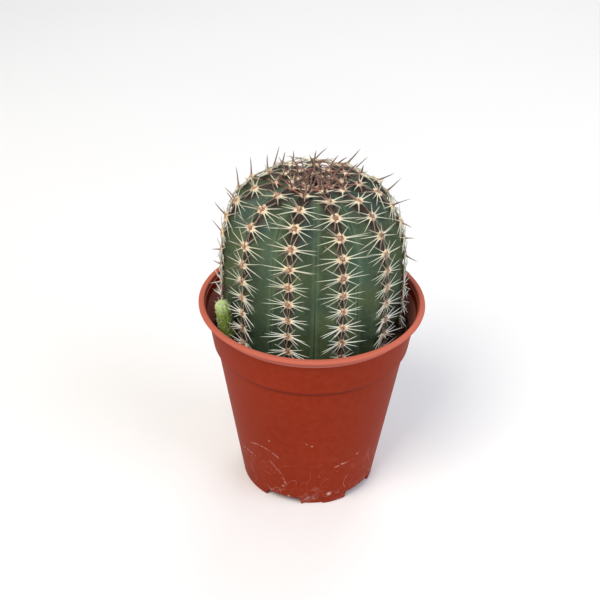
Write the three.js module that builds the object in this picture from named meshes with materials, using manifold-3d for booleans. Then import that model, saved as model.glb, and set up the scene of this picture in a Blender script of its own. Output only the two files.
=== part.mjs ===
// A small ribbed cactus in a nursery pot. Millimetres, +Z up, origin under the middle of the pot's feet.
// The plant's front, which shows the side shoot at its left, faces -Y.
import * as THREE from "three";
import { mergeVertices } from "three/addons/utils/BufferGeometryUtils.js";
import Module from "manifold-3d";

// Pot
const POT_HEIGHT = 61;
const RIM_RADIUS = 32.5;
const BASE_RADIUS = 20;
const WALL = 0.9;
const LIP_WIDTH = 1.9;
const LIP_HEIGHT = 1.4;
const COLLAR_DEPTH = 13.3; // from the rim down to the step
const COLLAR_TOP_RADIUS = 30.4;
const COLLAR_FOOT_RADIUS = 28.5;
const STEP = 0.9; // how far the collar stands out from the wall under it
const FLOOR_THICKNESS = 1;
const FOOT_HEIGHT = 2.6;
const FOOT_WIDTH = 3.2;
const FOOT_COUNT = 5;
const FOOT_SPAN = 41; // degrees
const FOOT_AZIMUTH = 14.5; // degrees, the middle of the front foot
const NOTCH_OVERCUT = 1.5; // how far the cut of a notch runs past the ring
const DRAIN_RADIUS = 3.5;
const SIDE_DRAIN_RADIUS = 2.2;
const SIDE_DRAIN_OFFSET = 10.5;
const ARCH_WIDTH = 6.3;
const ARCH_HEIGHT = 3.9;
const ARCH_DEPTH = 0.5;
const ARCH_AZIMUTH = 5;
const POT_SEGMENTS = 48;

// Soil
const SOIL_TOP = 52;
const SOIL_BUMP = 0.5;
const SOIL_SEGMENTS = 36;
const CLEARANCE = 0.3; // between touching pieces
const WALL_GAP = 0.4; // between the soil and the pot's faceted wall

// Plant body
const RIBS = 11;
const FIRST_RIB_AZIMUTH = -79.5; // degrees
const BODY_RADIUS = 25.3; // over the ribs, at the widest
const WIDEST = POT_HEIGHT + 10;
const CROWN_RISE = 27.7; // from the widest to the top
const LOWER_REACH = 40; // half height of the curve below the widest
const SHOULDER_POWER = 3; // of the superellipse that the ridges follow
const CROWN_DIP = 1.6;
const CROWN_DIP_RADIUS = 5;
const GROOVE_DEPTH = 3.8;
const GROOVE_DEPTH_AT_SOIL = 2.5;
const GROOVE_LIMIT = 0.3; // of the radius
const BURIED_DEPTH = 4; // below the soil, where the ribs have gone
const ROOT_RADIUS = 4.5;
const ROOT_BOTTOM = 33;

// Areoles and spines
const AREOLE_SPACING = 5.05;
const SHOULDER_ZONE = [12, 28]; // where the shoulder starts and is full, along a ridge from the rim's height
const CROWN_ZONE = [14, 3]; // the same for the crown, from its middle
const SHOULDER_SPACING = 0.35; // added over the shoulder
const SPACING_DELAY = 4; // how much further up the spacing grows than the spines do
const CROWN_SPACING = 1.2; // at the very crown
const CROWN_SPACING_GROWTH = 0.285; // per millimetre from the crown
const CROWN_REACH = 5; // the last areole's distance from the crown's middle, at least
const LOWEST_AREOLE = 1.5; // over the soil, at least
const FIRST_PHASE = 0.52;
const PHASE_STEP = 6 / RIBS; // of a spacing, from one rib to the next
const PAD_LENGTH = 2.2;
const PAD_WIDTH = 1.7;
const PAD_EDGE = 0.2; // height of the pad's edge over the ridge
const PAD_HEIGHT = 0.7;
const PAD_SINK = 1;
const SPINE_RADIUS = 0.3;
const RADIAL_ANGLES = [-50, -17, 17, 50, 130, 163, 197, 230]; // degrees from level, seen from outside
const RADIAL_LENGTH = 6;
const SHOULDER_LENGTH = 1.6; // added to radial spines over the shoulder
const RADIAL_LIFT = 20; // degrees off the ridge
const STEEP_LIFT = 32;
const CROWN_LIFT = 35; // added at the crown
const CENTRAL_LENGTH = 3.2;
const CENTRAL_LIFT = 62;
const CENTRAL_TURN = 80; // up or down the ridge
const CENTRAL_GROWTH = 2.8; // added to central spines over the shoulder
const CROWN_LENGTH = 2; // and at the crown
const SHORTER = [1, 0.7, 0.45]; // lengths tried for a spine that something is in the way of
const BENDS = [0, 12, -12]; // degrees that it is turned by
const STUB = 0.7; // of the pad's width, where nothing longer is clear
const LENGTH_VARIES = 0.15; // of a spine's length or lift
const TURN_VARIES = 4; // degrees
const CLEAR_STEPS = 10; // points tested along a spine
const SHOOT_MARGIN = 1.5; // a spine's distance from the side shoot, at least
const SOIL_MARGIN = 1.3; // and from the soil
const WALL_MARGIN = 0.6; // and from the pot

// Side shoot
const SHOOT_AZIMUTH = -65;
const SHOOT_RADIUS = 2.2;
const SHOOT_FOOT_OFFSET = 25.6;
const SHOOT_TOP_OFFSET = 27.4;
const SHOOT_TOP = POT_HEIGHT + 5.4;
const SHOOT_BURIED = 2;
const SHOOT_RIBS = 8;
const SHOOT_GROOVE = 0.88; // of the radius
const SHOOT_NECK = 0.5; // the foot's share of the radius
const SHOOT_LEVELS = 5; // rows of spines
const SHOOT_SPINE_LENGTH = 1;
const SHOOT_SPINE_SINK = 0.5;
const SHOOT_SPINE_RADIUS = 0.2;

const DEG = Math.PI / 180;
const wasm = await Module();
wasm.setup();

// A seeded draw, so that the plant is the same each time.
function makeRandom(seed) {
  let state = seed;
  return () => {
    state = (Math.imul(state, 1664525) + 1013904223) >>> 0;
    return state / 2 ** 32;
  };
}
const random = makeRandom(11);

function solid(geometry) {
  const bare = geometry.clone();
  bare.deleteAttribute("normal");
  bare.deleteAttribute("uv");
  const merged = mergeVertices(bare, 1e-4);
  return new wasm.Manifold(
    new wasm.Mesh({
      numProp: 3,
      vertProperties: merged.attributes.position.array,
      triVerts: new Uint32Array(merged.index.array),
    }),
  );
}

function meshOf(manifold, name, material) {
  const data = manifold.getMesh();
  const geometry = new THREE.BufferGeometry();
  geometry.setAttribute("position", new THREE.BufferAttribute(data.vertProperties, 3));
  geometry.setIndex(new THREE.BufferAttribute(data.triVerts, 1));
  geometry.computeVertexNormals();
  const mesh = new THREE.Mesh(geometry, material);
  mesh.name = name;
  return mesh;
}

// A turned shape about Z from [radius, height] points that run up its outside.
function turned(points, segments) {
  const profile = points.map(([r, z]) => new THREE.Vector2(r, z));
  return new THREE.LatheGeometry(profile, segments).rotateX(Math.PI / 2);
}

// The direction outwards at an azimuth in degrees: 0 faces -Y and 90 faces +X.
function outward(azimuth) {
  return new THREE.Vector3(Math.sin(azimuth * DEG), -Math.cos(azimuth * DEG), 0);
}

// Radius of the pot's inner wall at a height.
function innerRadius(z) {
  const stepHeight = POT_HEIGHT - COLLAR_DEPTH;
  if (z < stepHeight) {
    const share = z / stepHeight;
    return THREE.MathUtils.lerp(BASE_RADIUS, COLLAR_FOOT_RADIUS - STEP, share) - WALL;
  }
  const share = (z - stepHeight) / (COLLAR_DEPTH - LIP_HEIGHT);
  return THREE.MathUtils.lerp(COLLAR_FOOT_RADIUS, COLLAR_TOP_RADIUS, Math.min(share, 1)) - WALL;
}

function makePot() {
  const stepHeight = POT_HEIGHT - COLLAR_DEPTH;
  const lipFoot = POT_HEIGHT - LIP_HEIGHT;
  const floorTop = FOOT_HEIGHT + FLOOR_THICKNESS;
  const round = LIP_HEIGHT / 3;
  const shell = solid(
    turned(
      [
        [0, FOOT_HEIGHT],
        [BASE_RADIUS - FOOT_WIDTH, FOOT_HEIGHT],
        [BASE_RADIUS - FOOT_WIDTH, 0],
        [BASE_RADIUS, 0],
        [COLLAR_FOOT_RADIUS - STEP, stepHeight],
        [COLLAR_FOOT_RADIUS, stepHeight + STEP / 2],
        [COLLAR_TOP_RADIUS, lipFoot],
        [RIM_RADIUS - round, lipFoot],
        [RIM_RADIUS, lipFoot + round],
        [RIM_RADIUS, POT_HEIGHT - round],
        [RIM_RADIUS - round, POT_HEIGHT],
        [RIM_RADIUS - LIP_WIDTH + round, POT_HEIGHT],
        [RIM_RADIUS - LIP_WIDTH, POT_HEIGHT - round],
        [innerRadius(lipFoot), lipFoot],
        [innerRadius(stepHeight + STEP), stepHeight + STEP],
        [innerRadius(stepHeight - STEP), stepHeight - STEP],
        [innerRadius(floorTop), floorTop],
        [0, floorTop],
      ],
      POT_SEGMENTS,
    ),
  );
  return [...footNotches(), ...drainHoles(), archRecess()].reduce(
    (pot, cut) => pot.subtract(cut),
    shell,
  );
}

// Wedges that leave the feet standing between them.
function footNotches() {
  const pitch = 360 / FOOT_COUNT;
  const notchSpan = (pitch - FOOT_SPAN) * DEG;
  const outer = BASE_RADIUS + NOTCH_OVERCUT;
  const inner = BASE_RADIUS - FOOT_WIDTH - NOTCH_OVERCUT;
  return Array.from({ length: FOOT_COUNT }, (_, i) => {
    const middle = (FOOT_AZIMUTH + pitch * (i + 0.5) - 90) * DEG;
    const shape = new THREE.Shape();
    shape.absarc(0, 0, outer, middle - notchSpan / 2, middle + notchSpan / 2, false);
    shape.absarc(0, 0, inner, middle + notchSpan / 2, middle - notchSpan / 2, true);
    const wedge = new THREE.ExtrudeGeometry(shape, {
      depth: FOOT_HEIGHT + NOTCH_OVERCUT,
      bevelEnabled: false,
      curveSegments: 5,
    });
    return solid(wedge.translate(0, 0, -NOTCH_OVERCUT));
  });
}

function drainHoles() {
  const depth = FOOT_HEIGHT + FLOOR_THICKNESS;
  const hole = (radius, x, y) =>
    solid(
      new THREE.CylinderGeometry(radius, radius, depth * 2, 14)
        .rotateX(Math.PI / 2)
        .translate(x, y, depth),
    );
  const ring = Array.from({ length: FOOT_COUNT }, (_, i) => {
    const at = outward(FOOT_AZIMUTH + (360 / FOOT_COUNT) * i).multiplyScalar(SIDE_DRAIN_OFFSET);
    return hole(SIDE_DRAIN_RADIUS, at.x, at.y);
  });
  return [hole(DRAIN_RADIUS, 0, 0), ...ring];
}

// The shallow round-topped recess pressed into the front foot.
function archRecess() {
  const shape = new THREE.Shape();
  const half = ARCH_WIDTH / 2;
  shape.moveTo(-half, -half);
  shape.lineTo(half, -half);
  shape.lineTo(half, ARCH_HEIGHT - half);
  shape.absarc(0, ARCH_HEIGHT - half, half, 0, Math.PI, false);
  const plug = new THREE.ExtrudeGeometry(shape, {
    depth: ARCH_DEPTH * 4,
    bevelEnabled: false,
    curveSegments: 8,
  });
  return solid(
    plug
      .rotateX(Math.PI / 2)
      .translate(0, -(BASE_RADIUS - ARCH_DEPTH), 0)
      .rotateZ(ARCH_AZIMUTH * DEG),
  );
}

// Height of the ridge line below and above the widest place, at an angle of the superellipse.
function ridgePoint(angle) {
  const power = 2 / SHOULDER_POWER;
  const radius = BODY_RADIUS * Math.cos(angle) ** power;
  const rise = Math.abs(Math.sin(angle)) ** power;
  if (angle < 0) {
    return new THREE.Vector2(radius, WIDEST - LOWER_REACH * rise);
  }
  const dip = CROWN_DIP * Math.exp(-((radius / CROWN_DIP_RADIUS) ** 2));
  return new THREE.Vector2(radius, WIDEST + CROWN_RISE * rise - dip);
}

// The angle below the widest at which the ridge reaches a height.
function angleBelow(z) {
  const rise = (WIDEST - z) / LOWER_REACH;
  return -Math.asin(rise ** (SHOULDER_POWER / 2));
}

// How deep the grooves are at a height and ridge radius.
function grooveDepth(radius, z) {
  const above = THREE.MathUtils.clamp((z - SOIL_TOP) / (WIDEST - SOIL_TOP), 0, 1);
  const buried = THREE.MathUtils.clamp((z - SOIL_TOP + BURIED_DEPTH) / BURIED_DEPTH, 0, 1);
  const depth = THREE.MathUtils.lerp(GROOVE_DEPTH_AT_SOIL, GROOVE_DEPTH, above) * buried;
  return Math.min(depth, radius * GROOVE_LIMIT);
}

// 0 on a ridge and 1 in a groove.
function grooveShare(azimuth) {
  const turns = ((azimuth - FIRST_RIB_AZIMUTH) * RIBS) / 360;
  return 0.5 * (1 - Math.cos(2 * Math.PI * turns));
}

function bodyRidgeLine() {
  const lowest = angleBelow(SOIL_TOP - BURIED_DEPTH);
  const below = [0, 0.26, 0.46, 0.62, 0.76, 0.88].map((share) => ridgePoint(lowest * (1 - share)));
  const above = [0.08, 0.2, 0.33, 0.46, 0.58, 0.69, 0.78, 0.86, 0.93, 0.97].map((share) =>
    ridgePoint((share * Math.PI) / 2),
  );
  const root = [
    [0, ROOT_BOTTOM],
    [ROOT_RADIUS, ROOT_BOTTOM + 1],
    [ROOT_RADIUS * 2, (ROOT_BOTTOM + SOIL_TOP) / 2 - 1],
    [BODY_RADIUS * 0.8, SOIL_TOP - BURIED_DEPTH * 1.8],
  ].map(([r, z]) => new THREE.Vector2(r, z));
  const crown = [new THREE.Vector2(0, ridgePoint(Math.PI / 2).y)];
  return [...root, ...below, ...above, ...crown];
}

// The ribbed body; grow pushes its surface outwards, for the hole that it stands in.
function bodyGeometry(grow) {
  const line = bodyRidgeLine().map(
    (p, i, all) => new THREE.Vector2(p.x === 0 ? 0 : p.x + grow, i < all.length / 2 ? p.y - grow : p.y + grow),
  );
  const geometry = new THREE.LatheGeometry(line, RIBS * 6, -FIRST_RIB_AZIMUTH * DEG).rotateX(Math.PI / 2);
  const position = geometry.attributes.position;
  for (let i = 0; i < position.count; i++) {
    const radius = Math.hypot(position.getX(i), position.getY(i));
    if (radius < 1e-6) continue;
    const azimuth = Math.atan2(position.getX(i), -position.getY(i)) / DEG;
    const depth = grooveDepth(radius, position.getZ(i)) * grooveShare(azimuth);
    const scale = (radius - depth) / radius;
    position.setXY(i, position.getX(i) * scale, position.getY(i) * scale);
  }
  return geometry;
}

// Points along a ridge from the soil to the crown, with the distance from the rim's height.
function ridgeTrack() {
  const steps = 600;
  const from = angleBelow(SOIL_TOP);
  const track = [];
  for (let i = 0; i <= steps; i++) {
    const point = ridgePoint(THREE.MathUtils.lerp(from, Math.PI / 2, i / steps));
    const last = track[i - 1];
    track.push({ point, at: last ? last.at + point.distanceTo(last.point) : SOIL_TOP - POT_HEIGHT });
  }
  return track;
}

const track = ridgeTrack();
const crownAt = track[track.length - 1].at;

// The ridge's point and its direction at a distance along it.
function alongRidge(at) {
  const i = Math.max(1, track.findIndex((step) => step.at >= at));
  const a = track[i - 1];
  const b = track[i];
  const point = a.point.clone().lerp(b.point, (at - a.at) / (b.at - a.at));
  const along = b.point.clone().sub(a.point).normalize();
  return { point, along };
}

// 0 on the plant's side and 1 on its shoulder.
function shoulderShare(at) {
  return THREE.MathUtils.smoothstep(at, ...SHOULDER_ZONE);
}

function spacingAt(at) {
  const added = SHOULDER_SPACING * shoulderShare(at - SPACING_DELAY);
  return Math.min(AREOLE_SPACING + added, CROWN_SPACING + CROWN_SPACING_GROWTH * (crownAt - at));
}

// Where the areoles of a rib sit, as distances along its ridge.
function areoleStations(rib) {
  const phase = (FIRST_PHASE + PHASE_STEP * rib) % 1;
  const stations = [];
  let at = (phase - 2) * AREOLE_SPACING;
  while (at < crownAt - CROWN_REACH) {
    if (at > SOIL_TOP - POT_HEIGHT + LOWEST_AREOLE) stations.push(at);
    at += spacingAt(at);
  }
  return stations;
}

// A closed star: a low pad whose facets each rise to a spine's tip. Facet i lies over the ring's edge from
// angle i to angle i + 1, and the last spine stands on the pad's middle.
function starGeometry(frame, ringAngles, tips, centralTip) {
  const count = ringAngles.length;
  const middle = 3;
  const at = (angle, width, length, height) =>
    new THREE.Vector3(width * Math.cos(angle * DEG), length * Math.sin(angle * DEG), height).applyMatrix4(frame);
  const vertices = [
    ...ringAngles.map((angle) => at(angle, PAD_WIDTH / 2, PAD_LENGTH / 2, PAD_EDGE)),
    ...[270, 30, 150].map((angle) => at(angle, SPINE_RADIUS, SPINE_RADIUS, PAD_HEIGHT)),
    at(0, 0, 0, -PAD_SINK),
    ...tips,
    centralTip,
  ];
  const root = count + middle;
  const tipOf = (i) => root + 1 + i;
  const innerOf = (angle) => count + Math.floor((((angle + 90) % 360) + 360) % 360 / 120);
  const faces = [];
  for (let i = 0; i < count; i++) {
    const next = (i + 1) % count;
    const span = (((ringAngles[next] - ringAngles[i]) % 360) + 360) % 360;
    const inner = innerOf(ringAngles[i] + span / 2);
    const nextSpan = (((ringAngles[(next + 1) % count] - ringAngles[next]) % 360) + 360) % 360;
    const nextInner = innerOf(ringAngles[next] + nextSpan / 2);
    faces.push([i, next, tipOf(i)], [next, inner, tipOf(i)], [inner, i, tipOf(i)], [next, i, root]);
    if (inner !== nextInner) faces.push([next, nextInner, inner]);
  }
  faces.push([count, count + 1, tipOf(count)], [count + 1, count + 2, tipOf(count)]);
  faces.push([count + 2, count, tipOf(count)]);
  const geometry = new THREE.BufferGeometry().setFromPoints(vertices);
  geometry.setIndex(faces.flat());
  return geometry;
}

// The side shoot's axis at a height.
function shootAxis(z) {
  const share = (z - SOIL_TOP) / (SHOOT_TOP - SOIL_TOP);
  const offset = THREE.MathUtils.lerp(SHOOT_FOOT_OFFSET, SHOOT_TOP_OFFSET, share);
  return outward(SHOOT_AZIMUTH).multiplyScalar(offset).setZ(z);
}

// Whether a spine stays off the pot, the soil and the side shoot.
function isClear(root, tip) {
  for (let step = 1; step <= CLEAR_STEPS; step++) {
    const at = root.clone().lerp(tip, step / CLEAR_STEPS);
    const radius = Math.hypot(at.x, at.y);
    if (at.z < SOIL_TOP + SOIL_MARGIN) return false;
    if (at.z < POT_HEIGHT + WALL_MARGIN && radius > innerRadius(at.z) - WALL_MARGIN) return false;
    const shoot = shootAxis(at.z);
    const apart = Math.hypot(at.x - shoot.x, at.y - shoot.y);
    if (at.z < SHOOT_TOP + SHOOT_MARGIN && apart < SHOOT_RADIUS + SHOOT_MARGIN) return false;
  }
  return true;
}

// A spine's tip from its root: it turns about the areole until it stays clear, and else it is cut short.
function spineTip(centre, axes, turnStart, raise, length) {
  const towards = (turn, reach) =>
    centre
      .clone()
      .addScaledVector(axes.side, reach * Math.cos(turn) * Math.cos(raise))
      .addScaledVector(axes.up, reach * Math.sin(turn) * Math.cos(raise))
      .addScaledVector(axes.normal, reach * Math.sin(raise));
  for (const share of SHORTER) {
    for (const bend of BENDS) {
      const tip = towards((turnStart + bend) * DEG, length * share);
      if (isClear(centre, tip)) return tip;
    }
  }
  return towards(turnStart * DEG, PAD_WIDTH * STUB);
}

// One areole with its spines, in the frame of its ridge.
function areole(rib, at) {
  const azimuth = FIRST_RIB_AZIMUTH + (360 / RIBS) * rib;
  const { point, along } = alongRidge(at);
  const out = outward(azimuth);
  const side = new THREE.Vector3(-out.y, out.x, 0);
  const up = out.clone().multiplyScalar(along.x).setZ(along.y).normalize();
  const normal = side.clone().cross(up).normalize();
  const axes = { side, up, normal };
  const centre = out.clone().multiplyScalar(point.x).setZ(point.y);
  const frame = new THREE.Matrix4().makeBasis(side, up, normal).setPosition(centre);

  const shoulder = shoulderShare(at);
  const crown = THREE.MathUtils.smoothstep(at, crownAt - CROWN_ZONE[0], crownAt - CROWN_ZONE[1]);
  const radial = RADIAL_LENGTH + SHOULDER_LENGTH * shoulder * (1 - crown);
  const spread = () => 2 * random() - 1;
  const vary = () => 1 + LENGTH_VARIES * spread();
  const tips = RADIAL_ANGLES.map((angle, i) => {
    const lift = (i % 2 ? RADIAL_LIFT : STEEP_LIFT) + CROWN_LIFT * crown;
    return spineTip(centre, axes, angle + TURN_VARIES * spread(), lift * vary() * DEG, radial * vary());
  });
  const centralTurn = CENTRAL_TURN * Math.sign(spread());
  const central = (CENTRAL_LENGTH + CENTRAL_GROWTH * shoulder + CROWN_LENGTH * crown) * vary();
  const centralTip = spineTip(centre, axes, centralTurn, CENTRAL_LIFT * DEG, central);
  const ringAngles = RADIAL_ANGLES.map((angle, i) => {
    const last = i ? RADIAL_ANGLES[i - 1] : RADIAL_ANGLES[RADIAL_ANGLES.length - 1] - 360;
    return (angle + last) / 2;
  });
  return solid(starGeometry(frame, ringAngles, tips, centralTip));
}

function makeStem() {
  const pieces = [solid(bodyGeometry(0))];
  for (let rib = 0; rib < RIBS; rib++) {
    for (const at of areoleStations(rib)) {
      pieces.push(areole(rib, at));
    }
  }
  return wasm.Manifold.union(pieces);
}

// The shoot: a leaning finger with low ribs and a round top; grow makes the hole that it stands in.
function makeShootBody(grow) {
  const radius = SHOOT_RADIUS + grow;
  const foot = SOIL_TOP - SHOOT_BURIED - grow;
  const top = SHOOT_TOP + grow;
  const domeSteps = [0, 30, 60, 90];
  const dome = domeSteps.map((angle) => [
    radius * Math.cos(angle * DEG),
    top - radius * (1 - Math.sin(angle * DEG)),
  ]);
  dome[dome.length - 1][0] = 0;
  const profile = [[0, foot], [radius * SHOOT_NECK, foot], [radius, SOIL_TOP + radius], ...dome];
  const geometry = turned(profile, SHOOT_RIBS * 2);
  const position = geometry.attributes.position;
  for (let i = 0; i < position.count; i++) {
    const z = position.getZ(i);
    const axis = shootAxis(z);
    const ridge = Math.round((Math.atan2(position.getX(i), -position.getY(i)) / Math.PI) * SHOOT_RIBS);
    const scale = ridge % 2 === 0 ? 1 : SHOOT_GROOVE;
    position.setXY(i, axis.x + position.getX(i) * scale, axis.y + position.getY(i) * scale);
  }
  return solid(geometry);
}

// A short spine of the shoot, with its root sunk.
function hairSpine(root, direction) {
  const length = SHOOT_SPINE_LENGTH + SHOOT_SPINE_SINK;
  const turn = new THREE.Quaternion().setFromUnitVectors(new THREE.Vector3(0, 1, 0), direction);
  const middle = root.clone().addScaledVector(direction, (SHOOT_SPINE_LENGTH - SHOOT_SPINE_SINK) / 2);
  return new THREE.ConeGeometry(SHOOT_SPINE_RADIUS, length, 3, 1)
    .applyQuaternion(turn)
    .translate(middle.x, middle.y, middle.z);
}

function makeShoot() {
  const pieces = [makeShootBody(0)];
  const shoulder = SHOOT_TOP - SHOOT_RADIUS;
  for (let level = 0; level < SHOOT_LEVELS; level++) {
    const z = THREE.MathUtils.lerp(POT_HEIGHT - LIP_HEIGHT, SHOOT_TOP - 0.5, level / (SHOOT_LEVELS - 1));
    const reach = z > shoulder ? Math.sqrt(SHOOT_RADIUS ** 2 - (z - shoulder) ** 2) : SHOOT_RADIUS;
    for (let i = 0; i < SHOOT_RIBS; i++) {
      const out = outward((i * 360) / SHOOT_RIBS);
      const root = shootAxis(z).addScaledVector(out, reach - SHOOT_SPINE_SINK / 2);
      const direction = out.clone().setZ(0.5 + (level % 2)).normalize();
      const tip = root.clone().addScaledVector(direction, SHOOT_SPINE_LENGTH);
      const nearWall = tip.z < POT_HEIGHT + WALL_MARGIN;
      if (nearWall && Math.hypot(tip.x, tip.y) > innerRadius(tip.z) - CLEARANCE) continue;
      pieces.push(solid(hairSpine(root, direction)));
    }
  }
  return wasm.Manifold.union(pieces);
}

// The mix fills the pot; its top is uneven, and the plant and the shoot stand in holes in it.
function makeSoil() {
  const bottom = FOOT_HEIGHT + FLOOR_THICKNESS + CLEARANCE;
  const stepHeight = POT_HEIGHT - COLLAR_DEPTH;
  const topRow = SOIL_TOP + SOIL_BUMP; // moved by the bumps below
  const geometry = turned(
    [
      [0, bottom],
      [innerRadius(bottom) - WALL_GAP, bottom],
      [innerRadius(stepHeight - STEP) - WALL_GAP, stepHeight - STEP],
      [innerRadius(stepHeight + STEP) - WALL_GAP, stepHeight + STEP],
      [innerRadius(SOIL_TOP) - WALL_GAP, SOIL_TOP],
      ...[1.2, 2.4, 8].map((inset) => [innerRadius(SOIL_TOP) - inset, topRow]),
      [0, topRow],
    ],
    SOIL_SEGMENTS,
  );
  const position = geometry.attributes.position;
  for (let i = 0; i < position.count; i++) {
    if (position.getZ(i) < topRow) continue;
    const x = position.getX(i);
    const y = position.getY(i);
    const bump = Math.sin(1.9 * x + 0.6 * y) * Math.cos(1.3 * y - 0.8 * x);
    position.setZ(i, SOIL_TOP + (SOIL_BUMP * (1 + bump)) / 2);
  }
  return solid(geometry).subtract(solid(bodyGeometry(CLEARANCE))).subtract(makeShootBody(CLEARANCE));
}

const plastic = new THREE.MeshStandardMaterial({ color: "#a8452c", roughness: 0.45, metalness: 0 });
const peat = new THREE.MeshStandardMaterial({ color: "#3a2a22", roughness: 1, metalness: 0 });
const flesh = new THREE.MeshStandardMaterial({ color: "#3b5540", roughness: 0.6, metalness: 0 });
const youngFlesh = new THREE.MeshStandardMaterial({ color: "#8fae4a", roughness: 0.7, metalness: 0 });

const plant = new THREE.Group();
plant.add(meshOf(makeStem(), "stem", flesh));
plant.add(meshOf(makeShoot(), "offset_shoot", youngFlesh));

const object = new THREE.Group();
object.add(meshOf(makePot(), "pot", plastic));
object.add(meshOf(makeSoil(), "soil", peat));
object.add(plant);

export default object;
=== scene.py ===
"""A ribbed cactus in its plastic nursery pot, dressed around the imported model.

Shapes are worked out in millimetres and stored in metres: +Z up, the origin under the middle of the pot's
feet, and the plant's front, with the young shoot at its left, facing -Y.
"""
import math
from functools import partial

import bpy
import numpy as np
from bpy.props import FloatProperty, FloatVectorProperty, IntProperty, PointerProperty
from mathutils import Matrix, Vector


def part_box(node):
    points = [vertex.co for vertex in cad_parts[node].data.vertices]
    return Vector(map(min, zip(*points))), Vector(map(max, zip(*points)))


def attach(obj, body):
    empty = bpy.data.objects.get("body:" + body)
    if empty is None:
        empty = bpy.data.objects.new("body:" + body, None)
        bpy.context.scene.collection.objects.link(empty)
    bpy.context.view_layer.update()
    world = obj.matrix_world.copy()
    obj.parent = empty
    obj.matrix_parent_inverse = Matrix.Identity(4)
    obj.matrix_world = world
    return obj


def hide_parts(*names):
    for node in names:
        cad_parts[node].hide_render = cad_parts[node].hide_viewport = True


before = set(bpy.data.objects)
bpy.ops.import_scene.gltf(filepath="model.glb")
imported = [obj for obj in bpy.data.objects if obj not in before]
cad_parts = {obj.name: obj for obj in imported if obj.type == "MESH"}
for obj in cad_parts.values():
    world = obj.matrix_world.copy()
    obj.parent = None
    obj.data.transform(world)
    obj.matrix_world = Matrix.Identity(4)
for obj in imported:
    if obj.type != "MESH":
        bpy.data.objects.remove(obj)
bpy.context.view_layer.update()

bl_info = {
    "name": "Potted ribbed cactus",
    "version": (1, 0, 0),
    "blender": (4, 5, 0),
    "location": "3D View > Sidebar > Cactus",
    "description": "Builds a ribbed cactus in its nursery pot, piece by piece",
    "category": "Add Mesh",
}

MM = 0.001
DEG = math.pi / 180

# Pot, in millimetres
RIM_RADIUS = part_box("pot")[1].x / MM
POT_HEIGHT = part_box("pot")[1].z / MM
BASE_RADIUS = 20
WALL = 0.9
LIP_WIDTH = 1.75
LIP_HEIGHT = 1.3
COLLAR_DEPTH = 13.3
COLLAR_TOP_RADIUS = 30.4
COLLAR_FOOT_RADIUS = 28.5
STEP = 0.9
STEP_HEIGHT = POT_HEIGHT - COLLAR_DEPTH
LIP_FOOT = POT_HEIGHT - LIP_HEIGHT
FLOOR_THICKNESS = 1
FOOT_HEIGHT = 2.6
FOOT_WIDTH = 3.2
FOOT_EDGE = 0.35  # radius of the feet's edges
FOOT_COUNT = 5
FOOT_SPAN = 41  # degrees
FOOT_AZIMUTH = 14.5  # degrees, the middle of the front foot
NOTCH_EDGE = 0.25  # of the wall left over a notch
NOTCH_SLOPE = 1.2  # degrees that a notch's side takes
DRAIN_RADIUS = 3.5
SIDE_DRAIN_RADIUS = 2.2
SIDE_DRAIN_OFFSET = 10.5
DRAIN_COLUMNS = 40
ARCH_WIDTH = 6.3
ARCH_HEIGHT = 3.9
ARCH_DEPTH = 0.5
ARCH_AZIMUTH = 5  # degrees
POT_COLUMNS = 360

# Potting mix, in millimetres
SOIL_TOP = 52
SOIL_BUMP = 0.5
SOIL_GAP = 0.35  # to the pot's wall
SOIL_HOLE = (21.2, 20.7)  # radius round the plant's foot, at the top and below it
ROOT_GAP = 0.4
SOIL_COLUMNS = 180

# Plant body, in millimetres
RIBS = 11
FIRST_RIB_AZIMUTH = -79.5  # degrees
BODY_RADIUS = 25.3
WIDEST = POT_HEIGHT + 10
CROWN_RISE = 27.7
LOWER_REACH = 40
SHOULDER_POWER = 3
CROWN_DIP = 2.6
CROWN_DIP_RADIUS = 6
BULGE = 1.5  # how much further the plant's left shoulder stands out
BULGE_HEIGHT = 94
BULGE_REACH = 9
GROOVE_DEPTH = 3.8
GROOVE_DEPTH_AT_SOIL = 2.5
GROOVE_LIMIT = 0.3  # of the radius
CREASE_WIDTH = 0.45
BURIED_DEPTH = 4
ROOT_RADIUS = 4.5
ROOT_BOTTOM = 33
ROOT_SHOULDER = (ROOT_BOTTOM + SOIL_TOP) / 2 - 1
COLUMNS_PER_RIB = 34
COLUMN_CROWDING = 0.6  # towards the grooves
BODY_ROWS = 190

# Areoles along each ridge, in millimetres
AREOLE_SPACING = 5.05
MOUTH_ZONE = (3, 16)  # where the plant comes out of the pot
SHOULDER_ZONE = (12, 28)
CROWN_ZONE = (21, 4.5)  # from the crown's middle
SHOULDER_SPACING = 0.35
SPACING_DELAY = 4
CROWN_SPACING = 1.2
CROWN_SPACING_GROWTH = 0.285
CROWN_REACH = 2.6
LOWEST_AREOLE = 1.5
FIRST_PHASE = 0.52
PHASE_STEP = 6 / RIBS
KNOB_LENGTH = 1.7
KNOB_WIDTH = 2.3
AREOLE_RISE = 0.35  # over the ridge
CROWN_SHRINKING = 0.45  # of an areole's size

# Young shoot, in millimetres
SHOOT_AZIMUTH = -65  # degrees
SHOOT_RADIUS = 2.2
SHOOT_FOOT_OFFSET = 25.6
SHOOT_TOP_OFFSET = 27.4
SHOOT_TOP = POT_HEIGHT + 5.4
SHOOT_SHOULDER = SHOOT_TOP - SHOOT_RADIUS
SHOOT_BURIED = 2
SHOOT_RIBS = 9
SHOOT_TWIST = 4  # degrees for each millimetre of height
SHOOT_KNOB_SPACING = 1.9
SHOOT_HAIR_SPACING = 1.25
SHOOT_COLUMNS = 108
SHOOT_ROWS = 96

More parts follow.
